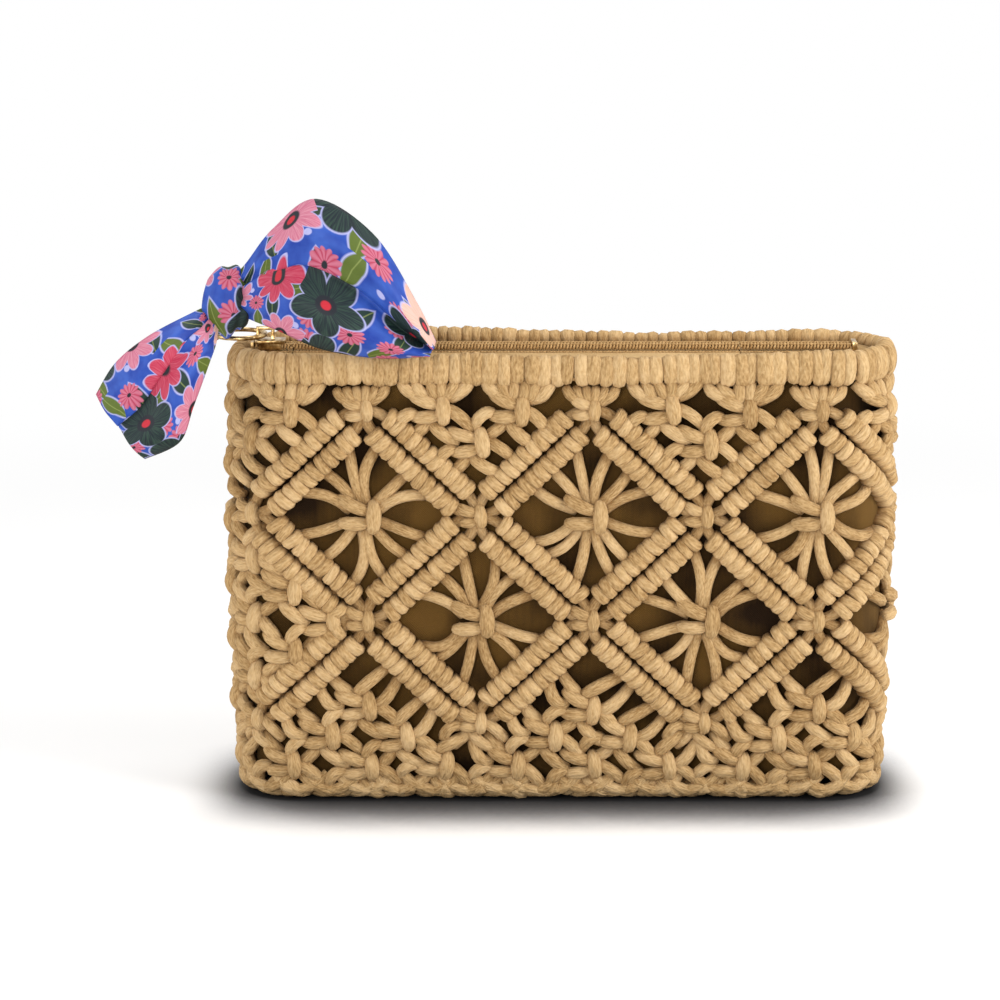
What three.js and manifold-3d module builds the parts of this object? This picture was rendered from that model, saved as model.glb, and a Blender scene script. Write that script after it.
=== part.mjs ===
// Macrame zip clutch: a net of knotted cotton cord over a cloth lining pouch, closed by a coil zip
// whose ring pull carries a tied ribbon scarf.
// Millimetres, +Z up, front towards -Y, origin under the middle of the base.
import * as THREE from 'three';
import { mergeVertices } from 'three/addons/utils/BufferGeometryUtils.js';
import { TessellateModifier } from 'three/addons/modifiers/TessellateModifier.js';
import Module from 'manifold-3d';

const wasm = await Module();
wasm.setup();

// Bag body
const straightLength = 210; // flat run of the front between the two round ends
const baseDepth = 50; // front to back at the floor
const bellyDepth = 58; // front to back at mid height, where the stuffing swells it
const mouthDepth = 53; // front to back at the top of the rim
const bagHeight = 182;
const baseThickness = 5;
const baseRound = 1.6; // rounding of the base's lower edge
const rimHeight = 14; // cord wraps round the mouth
const rimThickness = 8;
const rimRound = 2.4;
const liningWall = 1;
const netSlack = 1.2; // between the net and the lining behind it
const liningRecess = 4.5; // the lining's top edge below the rim's top
const clearance = 0.3; // gap between neighbouring pieces
const arcSteps = 8; // facets in each round end

// Cord, bars and knots
const cordDiameter = 5.2;
const barDiameter = 8.4; // clove hitches round a carrying cord
const pairSpacing = 9.2; // between the two bars of a lattice line
const barOverlap = 1.2; // of bars that meet at a crossing
const diamondCount = 6; // round the bag
const crossingRowCount = 4; // from the topmost crossings to the lowest
const plainEnd = 31.7; // run at the left end that the diamonds leave free
const frontColumn = 11; // middle of the diamond nearest the middle of the front
const latticeDrop = 9; // from the rim down to the topmost crossings
const lowestCrossing = 32.1; // height of the lowest crossings
const crossingKnot = 18; // knotted patch where the bars of a crossing meet
const unrollRadius = 23; // radius at which lengths round the ends are measured
const bendStep = 11.5; // longest chord of a bar round an end
const sheetStep = 15; // longest chord of a knot field round an end
const knotsPerDiamond = 3; // square knots in a row, to each diamond
const knotDrop = 12; // between rows of square knots
const knotSize = 12.4;
const gapWidth = 17; // opening between four square knots
const gapHeight = 13.6;
const fieldThickness = 5.6; // the cords between the knots
const lowestKnotRow = 14;
const spiderHubWidth = 13;
const spiderHubHeight = 20;
const spiderAngles = [-54, -18, 18, 54]; // where its legs reach the bars, from the horizontal
const spiderLeg = 4.6;
const legBow = 2; // how far a leg bows out between hub and bar

// Zip
const tapeThickness = 0.8;
const coilWidth = 2.6;
const coilHeight = 2.4;
const coilGap = 2; // between the two coils, for the slider's post
const sewnLeft = 17.2; // tape sewn closed at each end of the mouth; the free flaps run between
const sewnRight = 53.2;
const slotEndMargin = 2.6; // closed tape left at each sewn end
const stopLength = 1.3;
const bottomStopLength = 2;
const stopWall = 0.6;
const sliderLength = 12;
const sliderWidth = 9.8;
const sliderTail = 8.8; // width where the meshed chain leaves it
const sliderRound = 1.6;
const plateThickness = 1.2;
const postLength = 3;
const postWidth = 1.2;
const postOffset = -3; // from the slider's middle
const sliderInset = 8.2; // slider's middle from the mouth's left tip, closed against the top stops
const parkInset = 15.2; // and from the right tip, fully open
const bridgeLength = 7.2;
const bridgeWidth = 1.8;
const bridgeWall = 1.3;
const bridgeOffset = -1.9;
const bridgeClear = 3.7; // room under the bridge

// Ring pull and scarf
const ringRadius = 10;
const ringWire = 1.8;
const ringLift = 2; // wire's middle above the slider's top plate
const loopRadius = 9; // ribbon drawn through the ring
const loopWidth = 4.4;
const loopThickness = 0.9;
const loopClear = 0.6; // between the ribbon and the ring's wire
const clothThickness = 2.4;
const knotCenter = new THREE.Vector3(3, -12.4, 16.2); // from the ring's far point
const knotRadii = new THREE.Vector3(11, 10, 14.5);

// Derived sizes
const halfStraight = straightLength / 2;
const girth = 2 * straightLength + 2 * Math.PI * unrollRadius;
const rimBottom = bagHeight - rimHeight;
const latticeTop = rimBottom - latticeDrop;
const diamondWidth = (girth - plainEnd) / diamondCount;
const diamondHeight = 2 * (latticeTop - lowestCrossing) / (crossingRowCount - 1);
const knotPitch = diamondWidth / knotsPerDiamond;
const mouthRadius = mouthDepth / 2 - rimThickness;
const liningRadius = mouthRadius - clearance;
const liningTop = bagHeight - liningRecess;
const netFloor = baseThickness + clearance;
const netTop = rimBottom - clearance;
const tapeBottom = liningTop + clearance;
const tapeTop = tapeBottom + tapeThickness;
const coilBottom = tapeTop + clearance;
const coilTop = coilBottom + coilHeight;
const coilMiddle = (coilGap + coilWidth) / 2;
const tapeRadius = mouthRadius - clearance;
const leftTip = -halfStraight - tapeRadius;
const rightTip = halfStraight + tapeRadius;
const flapStart = leftTip + sewnLeft;
const flapEnd = rightTip - sewnRight;
const sliderMiddle = leftTip + sliderInset;
const plateBottom = coilTop + clearance;
const plateTop = plateBottom + plateThickness;

const cottonCord = new THREE.MeshStandardMaterial({ color: '#c49a66', roughness: 0.95 });
const liningCloth = new THREE.MeshStandardMaterial({ color: '#8f7149', roughness: 0.9 });
const zipCloth = new THREE.MeshStandardMaterial({ color: '#a07a4a', roughness: 0.85 });
const zipNylon = new THREE.MeshStandardMaterial({ color: '#8c6838', roughness: 0.5 });
const paleGold = new THREE.MeshStandardMaterial({ color: '#c9a664', roughness: 0.3, metalness: 1 });
const scarfCloth = new THREE.MeshStandardMaterial({ color: '#3d5fc0', roughness: 0.6 });

const bag = new THREE.Group();

// Closed geometry to a solid that can be joined and cut
function solidOf(geometry) {
  geometry.deleteAttribute('normal');
  geometry.deleteAttribute('uv');
  const merged = mergeVertices(geometry, 1e-4);
  return new wasm.Manifold(new wasm.Mesh({
    numProp: 3,
    vertProperties: merged.attributes.position.array,
    triVerts: Uint32Array.from(merged.index.array),
  }));
}

function join(solids) {
  return solids.reduce((whole, solid) => whole.add(solid));
}

function addPiece(name, solid, material) {
  const mesh = solid.getMesh();
  const geometry = new THREE.BufferGeometry();
  geometry.setAttribute('position', new THREE.BufferAttribute(mesh.vertProperties, 3));
  geometry.setIndex(new THREE.BufferAttribute(mesh.triVerts, 1));
  geometry.computeVertexNormals();
  const piece = new THREE.Mesh(geometry, material);
  piece.name = name;
  bag.add(piece);
}

function block(x0, x1, y0, y1, z0, z1) {
  const box = new THREE.BoxGeometry(x1 - x0, y1 - y0, z1 - z0);
  return solidOf(box.translate((x0 + x1) / 2, (y0 + y1) / 2, (z0 + z1) / 2));
}

// Round bar with flat sides along a run of points
function rod(points, diameter, sides) {
  const section = new THREE.Shape();
  for (let i = 0; i < sides; i += 1) {
    const angle = (2 * Math.PI * i) / sides;
    const corner = [diameter / 2 * Math.cos(angle), diameter / 2 * Math.sin(angle)];
    if (i === 0) section.moveTo(...corner);
    else section.lineTo(...corner);
  }
  const straight = points.length === 2;
  const extrudePath = straight ? new THREE.LineCurve3(...points) : new THREE.CatmullRomCurve3(points);
  const steps = points.length - 1;
  return solidOf(new THREE.ExtrudeGeometry(section, { steps, extrudePath, bevelEnabled: false }));
}

// Half depth of the bag at a height: a parabola through base, belly and mouth
function halfDepth(z) {
  const rise = z / bagHeight;
  const base = baseDepth * (1 - rise) * (1 - 2 * rise);
  const belly = 4 * bellyDepth * rise * (1 - rise);
  const mouth = mouthDepth * rise * (2 * rise - 1);
  return (base + belly + mouth) / 2;
}

// Point on the bag: u runs round it from the middle of the front, inset goes inwards from the surface
function onBag(u, z, inset) {
  const radius = halfDepth(z) - inset;
  const endRun = Math.PI * unrollRadius;
  const run = ((u + halfStraight) % girth + girth) % girth;
  if (run < straightLength) return new THREE.Vector3(run - halfStraight, -radius, z);
  if (run < straightLength + endRun) {
    const turn = (run - straightLength) / unrollRadius;
    return new THREE.Vector3(halfStraight + radius * Math.sin(turn), -radius * Math.cos(turn), z);
  }
  if (run < 2 * straightLength + endRun) {
    return new THREE.Vector3(halfStraight - (run - straightLength - endRun), radius, z);
  }
  const turn = (run - 2 * straightLength - endRun) / unrollRadius;
  return new THREE.Vector3(-halfStraight - radius * Math.sin(turn), radius * Math.cos(turn), z);
}

// Turn about Z that faces a knot outwards at u
function facing(u) {
  const outer = onBag(u, bagHeight / 2, 0);
  const inner = onBag(u, bagHeight / 2, 1);
  return Math.atan2(inner.x - outer.x, outer.y - inner.y) + Math.PI;
}

// Lens-shaped knot on the net
function knotAt(u, z, width, depth) {
  const lens = new THREE.SphereGeometry(0.5, 6, 2);
  lens.scale(width, depth, width).rotateZ(facing(u));
  const place = onBag(u, z, barDiameter / 2);
  return solidOf(lens.translate(place.x, place.y, place.z));
}

// Bar or leg on the net between two (u, z) places, bent where it goes round an end
function netRod(from, to, diameter, sides) {
  const turned = (place) => {
    const run = ((place[0] + halfStraight) % girth + girth) % girth;
    return run > straightLength && (run < girth / 2 || run > girth / 2 + straightLength);
  };
  const bends = turned(from) || turned(to);
  const steps = bends ? Math.max(1, Math.round(Math.abs(to[0] - from[0]) / bendStep)) : 1;
  const points = [];
  for (let i = 0; i <= steps; i += 1) {
    const u = THREE.MathUtils.lerp(from[0], to[0], i / steps);
    const z = THREE.MathUtils.lerp(from[1], to[1], i / steps);
    points.push(onBag(u, z, barDiameter / 2));
  }
  return rod(points, diameter, sides);
}

// Prism or lofted shell with two straight sides and two round ends; levels are [height, end radius]
function stadium(levels) {
  const positions = [];
  const index = [];
  const ringSize = 2 * (arcSteps + 1);
  for (const [z, radius] of levels) {
    for (let i = 0; i < ringSize; i += 1) {
      const end = i <= arcSteps ? 1 : -1;
      const angle = (Math.PI * (i % (arcSteps + 1))) / arcSteps - Math.PI / 2 * end;
      positions.push(end * halfStraight + radius * Math.cos(angle), radius * Math.sin(angle), z);
    }
  }
  const top = (levels.length - 1) * ringSize;
  for (let level = 0; level < levels.length - 1; level += 1) {
    for (let i = 0; i < ringSize; i += 1) {
      const a = level * ringSize + i;
      const b = level * ringSize + ((i + 1) % ringSize);
      index.push(a, b, b + ringSize, a, b + ringSize, a + ringSize);
    }
  }
  for (let i = 1; i < ringSize - 1; i += 1) {
    index.push(0, i + 1, i, top, top + i, top + i + 1);
  }
  const geometry = new THREE.BufferGeometry();
  geometry.setAttribute('position', new THREE.Float32BufferAttribute(positions, 3));
  geometry.setIndex(index);
  return solidOf(geometry);
}

function prism(z0, z1, radius) {
  return stadium([[z0, radius], [z1, radius]]);
}

// Base, lining and rim
const baseTopRadius = halfDepth(baseThickness);
addPiece('base_knots', stadium([
  [0, baseDepth / 2 - baseRound],
  [baseRound, halfDepth(baseRound)],
  [baseThickness, baseTopRadius],
]), cottonCord);

const liningGap = barDiameter + netSlack;
const liningRise = netTop - netFloor;
const liningLevels = [0, 0.25, 0.5, 0.75, 1].map((share) => {
  const z = netFloor + share * liningRise;
  return [z, Math.min(halfDepth(z) - liningGap, share === 1 ? liningRadius : Infinity)];
});
const liningOuter = stadium([...liningLevels, [liningTop, liningRadius]]);
const liningHollow = stadium([
  [netFloor + liningWall, liningLevels[0][1] - liningWall],
  ...liningLevels.slice(1).map(([z, radius]) => [z, radius - liningWall]),
  [liningTop + liningWall, liningRadius - liningWall],
]);
addPiece('lining_pouch', liningOuter.subtract(liningHollow), liningCloth);

const rimRadius = halfDepth((rimBottom + bagHeight) / 2);
const grooveMiddle = (rimRadius + mouthRadius) / 2;
const grooveHalf = cordDiameter / 2 + clearance;
const grooveTop = rimBottom + cordDiameter + 2 * clearance;
const rimRing = stadium([
  [rimBottom, rimRadius - rimRound],
  [rimBottom + rimRound, rimRadius],
  [bagHeight - rimRound, rimRadius],
  [bagHeight, rimRadius - rimRound],
]).subtract(prism(rimBottom - 1, bagHeight + 1, mouthRadius))
  .subtract(prism(rimBottom - 1, grooveTop, grooveMiddle + grooveHalf)
    .subtract(prism(rimBottom - 2, grooveTop + 1, grooveMiddle - grooveHalf)));
const reach = halfStraight + bellyDepth; // beyond the bag on every side
const frontHalf = block(-reach, reach, -reach, -clearance / 2, -1, bagHeight + 1);
const backHalf = block(-reach, reach, clearance / 2, reach, -1, bagHeight + 1);
addPiece('rim_wraps_front', rimRing.intersect(frontHalf), cottonCord);
addPiece('rim_wraps_back', rimRing.intersect(backHalf), cottonCord);

const cordHalf = cordDiameter / 2;
const cordFoot = rimBottom + clearance;
addPiece('rim_holding_cord', prism(cordFoot, cordFoot + cordDiameter, grooveMiddle + cordHalf)
  .subtract(prism(cordFoot - 1, cordFoot + cordDiameter + 1, grooveMiddle - cordHalf)), cottonCord);

// Diamond lattice
const halfWide = diamondWidth / 2;
const halfHigh = diamondHeight / 2;
const crossingRows = Array.from({ length: crossingRowCount }, (_, row) => latticeTop - row * halfHigh);
const columns = Array.from({ length: diamondCount }, (_, i) => frontColumn + (i - 1) * diamondWidth);
const barSides = 5;

function latticeLines() {
  const lines = [];
  for (const column of columns) {
    for (const outer of [column - halfWide, column + halfWide]) {
      const zigzag = [column, outer, column, outer].map((u, row) => [u, crossingRows[row]]);
      for (let row = 0; row < zigzag.length - 1; row += 1) lines.push([zigzag[row], zigzag[row + 1]]);
    }
  }
  return lines;
}

// Two bars beside each other along each line, and a knotted patch over each crossing
function lattice() {
  const solids = [];
  const endGap = (pairSpacing + barDiameter) / 2 - barOverlap;
  for (const [from, to] of latticeLines()) {
    const length = Math.hypot(to[0] - from[0], to[1] - from[1]);
    const along = [(to[0] - from[0]) / length, (to[1] - from[1]) / length];
    for (const side of [-1, 1]) {
      const place = (run) => [
        from[0] + along[0] * run - side * along[1] * pairSpacing / 2,
        from[1] + along[1] * run + side * along[0] * pairSpacing / 2,
      ];
      solids.push(netRod(place(endGap), place(length - endGap), barDiameter, barSides));
    }
  }
  const crossings = columns.flatMap((u) => [[u, crossingRows[0]], [u, crossingRows[2]]]);
  for (let i = 0; i <= diamondCount; i += 1) {
    const u = columns[0] + (i - 0.5) * diamondWidth;
    crossings.push([u, crossingRows[1]], [u, crossingRows[3]]);
  }
  for (const [u, z] of crossings) {
    solids.push(knotAt(u, z, crossingKnot, barDiameter));
  }
  return join(solids);
}

const netRange = block(-reach, reach, -reach, reach, netFloor, netTop);
const wholeLattice = lattice().intersect(netRange);
const backStart = girth / 2 - halfStraight; // u where the back's flat run starts
const backX = (u) => halfStraight - (u - backStart);
const half = clearance / 2;
const splitShift = crossingKnot / 4; // the end lattice keeps most of the crossings that it shares
const frontSplit = columns[2] + splitShift;
const backSplit = backX(columns[3]) + splitShift;
const frontSide = block(-reach, frontSplit - half, -reach, 0, 0, bagHeight);
const backSide = block(-reach, backSplit - half, 0, reach, 0, bagHeight);
const rightSide = join([
  block(frontSplit + half, reach, -reach, 0, 0, bagHeight),
  block(backSplit + half, reach, 0, reach, 0, bagHeight),
]);
addPiece('lattice_front', wholeLattice.intersect(frontSide), cottonCord);
addPiece('lattice_back', wholeLattice.intersect(backSide), cottonCord);
addPiece('lattice_right_end', wholeLattice.intersect(rightSide), cottonCord);

// Spider knots: a large square knot whose cords fan out to the bars of its diamond
const legSides = 4;
const lineDistance = 1 / Math.hypot(1 / halfWide, 1 / halfHigh); // from a diamond's middle to its lines
const lineNormal = Math.atan2(halfWide, halfHigh);

function spider(u, z) {
  const hub = new THREE.BoxGeometry(spiderHubWidth, barDiameter, spiderHubHeight).rotateZ(facing(u));
  const middle = onBag(u, z, barDiameter / 2);
  const solids = [solidOf(hub.translate(middle.x, middle.y, middle.z))];
  for (const side of [-1, 1]) {
    spiderAngles.forEach((angle, i) => {
      const turn = THREE.MathUtils.degToRad(angle);
      const skew = Math.abs(turn) - lineNormal;
      const endInset = (pairSpacing + barDiameter + spiderLeg * Math.abs(Math.sin(skew))) / 2 + clearance;
      const span = (lineDistance - endInset) / Math.cos(skew);
      const rise = (i - (spiderAngles.length - 1) / 2) * (spiderLeg + clearance);
      const place = (du, dz) => onBag(u + side * du, z + dz, barDiameter / 2);
      const end = [span * Math.cos(turn), span * Math.sin(turn)];
      const bend = [(spiderHubWidth / 2 + end[0]) / 2, (rise + end[1]) / 2 + Math.sign(rise) * legBow];
      solids.push(rod([place(spiderHubWidth / 4, rise), place(...bend), place(...end)], spiderLeg, legSides));
    });
  }
  return join(solids);
}

const sideNames = ['front_left', 'front_middle', 'front_right', 'back_right', 'back_middle', 'back_left'];
columns.forEach((u, i) => {
  addPiece(`spider_upper_${sideNames[i]}`, spider(u, crossingRows[1]), cottonCord);
});
const lowerNames = ['front_left', 'front_right', 'right_end', 'back_right', 'back_left'];
lowerNames.forEach((name, i) => {
  const u = columns[0] + (i + 0.5) * diamondWidth;
  addPiece(`spider_lower_${name}`, spider(u, crossingRows[2]), cottonCord);
});

// Fields of square knots: a sheet of cords pierced between the knots, with the knots raised on it
const lineGap = (pairSpacing + barDiameter) / 2 + clearance; // from a lattice line to a field's edge
const slope = halfHigh / halfWide;
const gapUp = lineGap * Math.hypot(1, slope); // the same, measured straight up
const gapAcross = gapUp / slope;

// Distance from a place to an outline, negative outside it
function depthInside(outline, [u, z]) {
  let inside = false;
  let nearest = Infinity;
  outline.forEach(([au, az], i) => {
    const [bu, bz] = outline[(i + 1) % outline.length];
    if ((az > z) !== (bz > z) && u < au + (z - az) / (bz - az) * (bu - au)) inside = !inside;
    const run = ((u - au) * (bu - au) + (z - az) * (bz - az)) / ((bu - au) ** 2 + (bz - az) ** 2);
    const share = THREE.MathUtils.clamp(run, 0, 1);
    nearest = Math.min(nearest, Math.hypot(au + share * (bu - au) - u, az + share * (bz - az) - z));
  });
  return inside ? nearest : -nearest;
}

// Splits a flat sheet's facets across its length, so that it can bend round an end
function chopped(sheet) {
  const flatten = 0.01; // edges straight up count as short
  sheet.scale(1, flatten, flatten);
  return new TessellateModifier(sheetStep, 8).modify(sheet).scale(1, 1 / flatten, 1 / flatten);
}

function knotField(outline, column, bent) {
  const knots = [];
  const gaps = [];
  const rows = Math.ceil((netTop - lowestKnotRow) / knotDrop);
  const reachColumns = Math.ceil(girth / knotPitch);
  for (let row = 0; row <= rows; row += 1) {
    const z = lowestKnotRow + row * knotDrop;
    for (let i = -reachColumns; i <= reachColumns; i += 1) {
      const knotU = column + (i + (row % 2 === 0 ? 0 : 0.5)) * knotPitch;
      const gapU = knotU + knotPitch / 2;
      if (depthInside(outline, [knotU, z]) > knotSize / 2) knots.push([knotU, z]);
      const rhomb = [[-gapWidth / 2, 0], [0, -gapHeight / 2], [gapWidth / 2, 0], [0, gapHeight / 2]]
        .map(([du, dz]) => [gapU + du, z + dz]);
      if (rhomb.every((corner) => depthInside(outline, corner) > cordDiameter / 3)) gaps.push(rhomb);
    }
  }
  const vectors = (places) => places.map(([u, z]) => new THREE.Vector2(u, z));
  const shape = new THREE.Shape(vectors(outline));
  shape.holes = gaps.map((gap) => new THREE.Path(vectors(gap)));
  const flatSheet = new THREE.ExtrudeGeometry(shape, { depth: fieldThickness, bevelEnabled: false });
  const sheet = bent ? chopped(flatSheet) : flatSheet;
  const corners = sheet.attributes.position;
  const innerFace = (barDiameter + fieldThickness) / 2;
  for (let i = 0; i < corners.count; i += 1) {
    const place = onBag(corners.getX(i), corners.getY(i), innerFace - corners.getZ(i));
    corners.setXYZ(i, place.x, place.y, place.z);
  }
  return join([solidOf(sheet), ...knots.map(([u, z]) => knotAt(u, z, knotSize, barDiameter))]);
}

const upperNames = ['front_left', 'front_right', 'right_end', 'back_right', 'back_left'];
upperNames.forEach((name, i) => {
  const u = columns[i] + halfWide;
  const foot = crossingRows[1] + gapUp;
  const side = halfWide - crossingKnot / 2 - clearance;
  const outline = [[u, foot], [u + side, foot + side * slope], [u + side, netTop],
    [u - side, netTop], [u - side, foot + side * slope]];
  addPiece(`square_knots_upper_${name}`, knotField(outline, columns[i], name === 'right_end'), cottonCord);
});

// Under the lowest lattice lines, down to the base, between two places on the bag
const underside = (u) => {
  const nearest = columns.reduce((best, c) => (Math.abs(c - u) < Math.abs(best - u) ? c : best));
  return crossingRows[2] - Math.abs(u - nearest) * slope - gapUp;
};
function lowerOutline(from, to) {
  const turns = [from, to];
  for (let i = -1; i <= 2 * diamondCount; i += 1) {
    const u = columns[0] + i * halfWide;
    if (u > from && u < to) turns.push(u);
  }
  turns.sort((a, b) => b - a);
  return [[from, netFloor], [to, netFloor], ...turns.map((u) => [u, underside(u)])];
}

const borderShift = knotPitch / 4; // borders run midway between two columns of knots
const rightBorder = columns[2] - borderShift;
const backBorder = columns[3] + borderShift;
const leftBorder = columns[0] - 3 * borderShift;
const backLeftBorder = columns[5] + 3 * borderShift;
addPiece('square_knots_lower_front',
  knotField(lowerOutline(leftBorder + half, rightBorder - half), columns[0], false), cottonCord);
addPiece('square_knots_lower_right_end',
  knotField(lowerOutline(rightBorder + half, backBorder - half), columns[2], true), cottonCord);
addPiece('square_knots_lower_back',
  knotField(lowerOutline(backBorder + half, backLeftBorder - half), columns[3], false), cottonCord);

// The plain left end, from base to rim, between the two outermost zigzags of the lattice
function leftOutline() {
  const [topRow, upperRow, middleRow, lowRow] = crossingRows;
  const edge = (border, column, side) => [
    [border, netFloor],
    [border, underside(border - (side > 0 ? 0 : girth))],
    [column + side * halfWide, lowRow - gapUp],
    [column + side * (halfWide + gapAcross), lowRow],
    [column + side * gapAcross, middleRow],
    [column + side * (halfWide + gapAcross), upperRow],
    [column + side * gapAcross, topRow],
    [column + side * gapAcross, netTop],
  ];
  const back = edge(backLeftBorder + half, columns[5], 1);
  const front = edge(leftBorder - half + girth, columns[0] + girth, -1);
  return [...front, ...back.reverse()];
}
const leftColumn = (columns[5] + columns[0] + girth) / 2;
addPiece('square_knots_left_end', knotField(leftOutline(), leftColumn, true), cottonCord);

// Zip: a flap of tape on each side of the mouth, sewn together at both ends
const beyond = bagHeight; // far past the piece being cut

function coil(x0, x1, side, foot) {
  const along = new THREE.CylinderGeometry(0.5, 0.5, x1 - x0, 6).rotateZ(Math.PI / 2);
  along.scale(1, coilWidth, coilTop - foot);
  return solidOf(along.translate((x0 + x1) / 2, side * coilMiddle, (foot + coilTop) / 2));
}

for (const [name, side] of [['front', -1], ['back', 1]]) {
  const edges = [side * tapeRadius, side * coilGap / 2].sort((a, b) => a - b);
  addPiece(`zip_tape_${name}`, block(flapStart, flapEnd, ...edges, tapeBottom, tapeTop), zipCloth);
  addPiece(`zip_coil_${name}`, coil(flapStart, flapEnd, side, coilBottom), zipNylon);
}

// The sewn ends: tape with a slot for the slider's post, and the last of both coils
const sewnTape = prism(tapeBottom, tapeTop, tapeRadius);
function zipEnd(x0, x1, slotFrom, slotTo, coilFrom, coilTo) {
  const tape = sewnTape.intersect(block(x0, x1, -beyond, beyond, 0, beyond + bagHeight))
    .subtract(block(slotFrom, slotTo, -coilGap / 2, coilGap / 2, 0, beyond + bagHeight));
  const stitched = tapeTop - tapeThickness / 2;
  return join([tape, coil(coilFrom, coilTo, -1, stitched), coil(coilFrom, coilTo, 1, stitched)]);
}
const sliderStart = sliderMiddle - sliderLength / 2;
const sliderPark = rightTip - parkInset + sliderLength / 2;
const topStopEnd = sliderStart - clearance;
const topStopStart = topStopEnd - stopLength;
const bottomStopStart = sliderPark + clearance;
const bottomStopEnd = bottomStopStart + bottomStopLength;
addPiece('zip_end_left', zipEnd(leftTip - 1, flapStart - clearance, leftTip + slotEndMargin, flapStart,
  topStopStart, flapStart - clearance), zipCloth);
addPiece('zip_end_right', zipEnd(flapEnd + clearance, rightTip + 1, flapEnd, bottomStopEnd,
  flapEnd + clearance, bottomStopEnd), zipCloth);

// Stops: clips bent over the coils
function stop(x0, x1, y0, y1, sides) {
  const room = sides.map((side) => {
    const edges = [side * (coilGap / 2 - clearance), side * (coilGap / 2 + coilWidth + clearance)];
    return block(x0 - 1, x1 + 1, ...edges.sort((a, b) => a - b), 0, coilTop + clearance);
  });
  return block(x0, x1, y0, y1, tapeTop + clearance, coilTop + clearance + stopWall).subtract(join(room));
}
const stopInner = coilGap / 2 - clearance - stopWall / 2;
const stopOuter = coilGap / 2 + coilWidth + clearance + stopWall;
addPiece('zip_top_stop_front', stop(topStopStart, topStopEnd, -stopOuter, -stopInner, [-1]), paleGold);
addPiece('zip_top_stop_back', stop(topStopStart, topStopEnd, stopInner, stopOuter, [1]), paleGold);
addPiece('zip_bottom_stop', stop(bottomStopStart, bottomStopEnd, -stopOuter, stopOuter, [-1, 1]), paleGold);

// Slider: two plates on a post between the coils, side flanges, and a bridge for the ring
function sliderPlate(z) {
  const outline = new THREE.Shape();
  const [front, back] = [sliderWidth / 2, sliderTail / 2];
  const [nose, tail] = [-sliderLength / 2, sliderLength / 2];
  outline.moveTo(nose, -front + sliderRound);
  outline.quadraticCurveTo(nose, -front, nose + sliderRound, -front);
  outline.lineTo(tail - sliderRound, -back);
  outline.quadraticCurveTo(tail, -back, tail, -back + sliderRound);
  outline.lineTo(tail, back - sliderRound);
  outline.quadraticCurveTo(tail, back, tail - sliderRound, back);
  outline.lineTo(nose + sliderRound, front);
  outline.quadraticCurveTo(nose, front, nose, front - sliderRound);
  const pressed = { depth: plateThickness, curveSegments: 2, bevelEnabled: false };
  const plate = new THREE.ExtrudeGeometry(outline, pressed);
  return solidOf(plate.translate(sliderMiddle, 0, z));
}
const underPlate = tapeBottom - clearance - plateThickness;
const postMiddle = sliderMiddle + postOffset;
const flangeInner = coilGap / 2 + coilWidth + clearance;
const flangeReach = sliderLength / 2 - sliderRound;
const bridgeMiddle = sliderMiddle + bridgeOffset;
const bridgeTop = plateTop + bridgeClear + bridgeWall;
const bridge = block(bridgeMiddle - bridgeLength / 2, bridgeMiddle + bridgeLength / 2,
  -bridgeWidth / 2, bridgeWidth / 2, plateTop - plateThickness / 2, bridgeTop)
  .subtract(block(bridgeMiddle - bridgeLength / 2 + bridgeWall, bridgeMiddle + bridgeLength / 2 - bridgeWall,
    -bridgeWidth, bridgeWidth, plateTop - plateThickness, bridgeTop - bridgeWall));
addPiece('zip_slider', join([
  sliderPlate(underPlate),
  sliderPlate(plateBottom),
  block(postMiddle - postLength / 2, postMiddle + postLength / 2, -postWidth / 2, postWidth / 2,
    underPlate + plateThickness / 2, plateBottom + plateThickness / 2),
  ...[-1, 1].map((side) => block(sliderMiddle - flangeReach, sliderMiddle + flangeReach,
    ...[side * flangeInner, side * sliderTail / 2].sort((a, b) => a - b),
    tapeTop + clearance, plateBottom + plateThickness / 2)),
  bridge,
]), paleGold);

// Ring pull, lying to the left with its near side under the bridge
const ringHeight = plateTop + ringLift;
const ringFar = bridgeMiddle - 2 * ringRadius;
const ring = new THREE.TorusGeometry(ringRadius, ringWire / 2, 6, 20);
addPiece('pull_ring', solidOf(ring.translate(bridgeMiddle - ringRadius, 0, ringHeight)), paleGold);

// Scarf: a ribbon looped through the ring, knotted, with two tails
const loopShape = new THREE.Shape().absarc(0, 0, loopRadius, 0, 2 * Math.PI);
loopShape.holes.push(new THREE.Path().absarc(0, 0, loopRadius - loopThickness, 0, 2 * Math.PI, true));
const ribbon = { depth: loopWidth, curveSegments: 9, bevelEnabled: false };
const loop = new THREE.ExtrudeGeometry(loopShape, ribbon);
const loopHeight = ringHeight - ringWire / 2 - loopClear - loopThickness + loopRadius;
loop.translate(0, 0, -loopWidth / 2).rotateX(Math.PI / 2).translate(ringFar, 0, loopHeight);
addPiece('scarf_loop', solidOf(loop), scarfCloth);
const knot = new THREE.SphereGeometry(1, 10, 6).rotateX(Math.PI / 2);
knot.scale(knotRadii.x, knotRadii.y, knotRadii.z);
knot.translate(ringFar + knotCenter.x, knotCenter.y, ringHeight + knotCenter.z);
addPiece('scarf_knot', solidOf(knot), scarfCloth);

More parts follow.
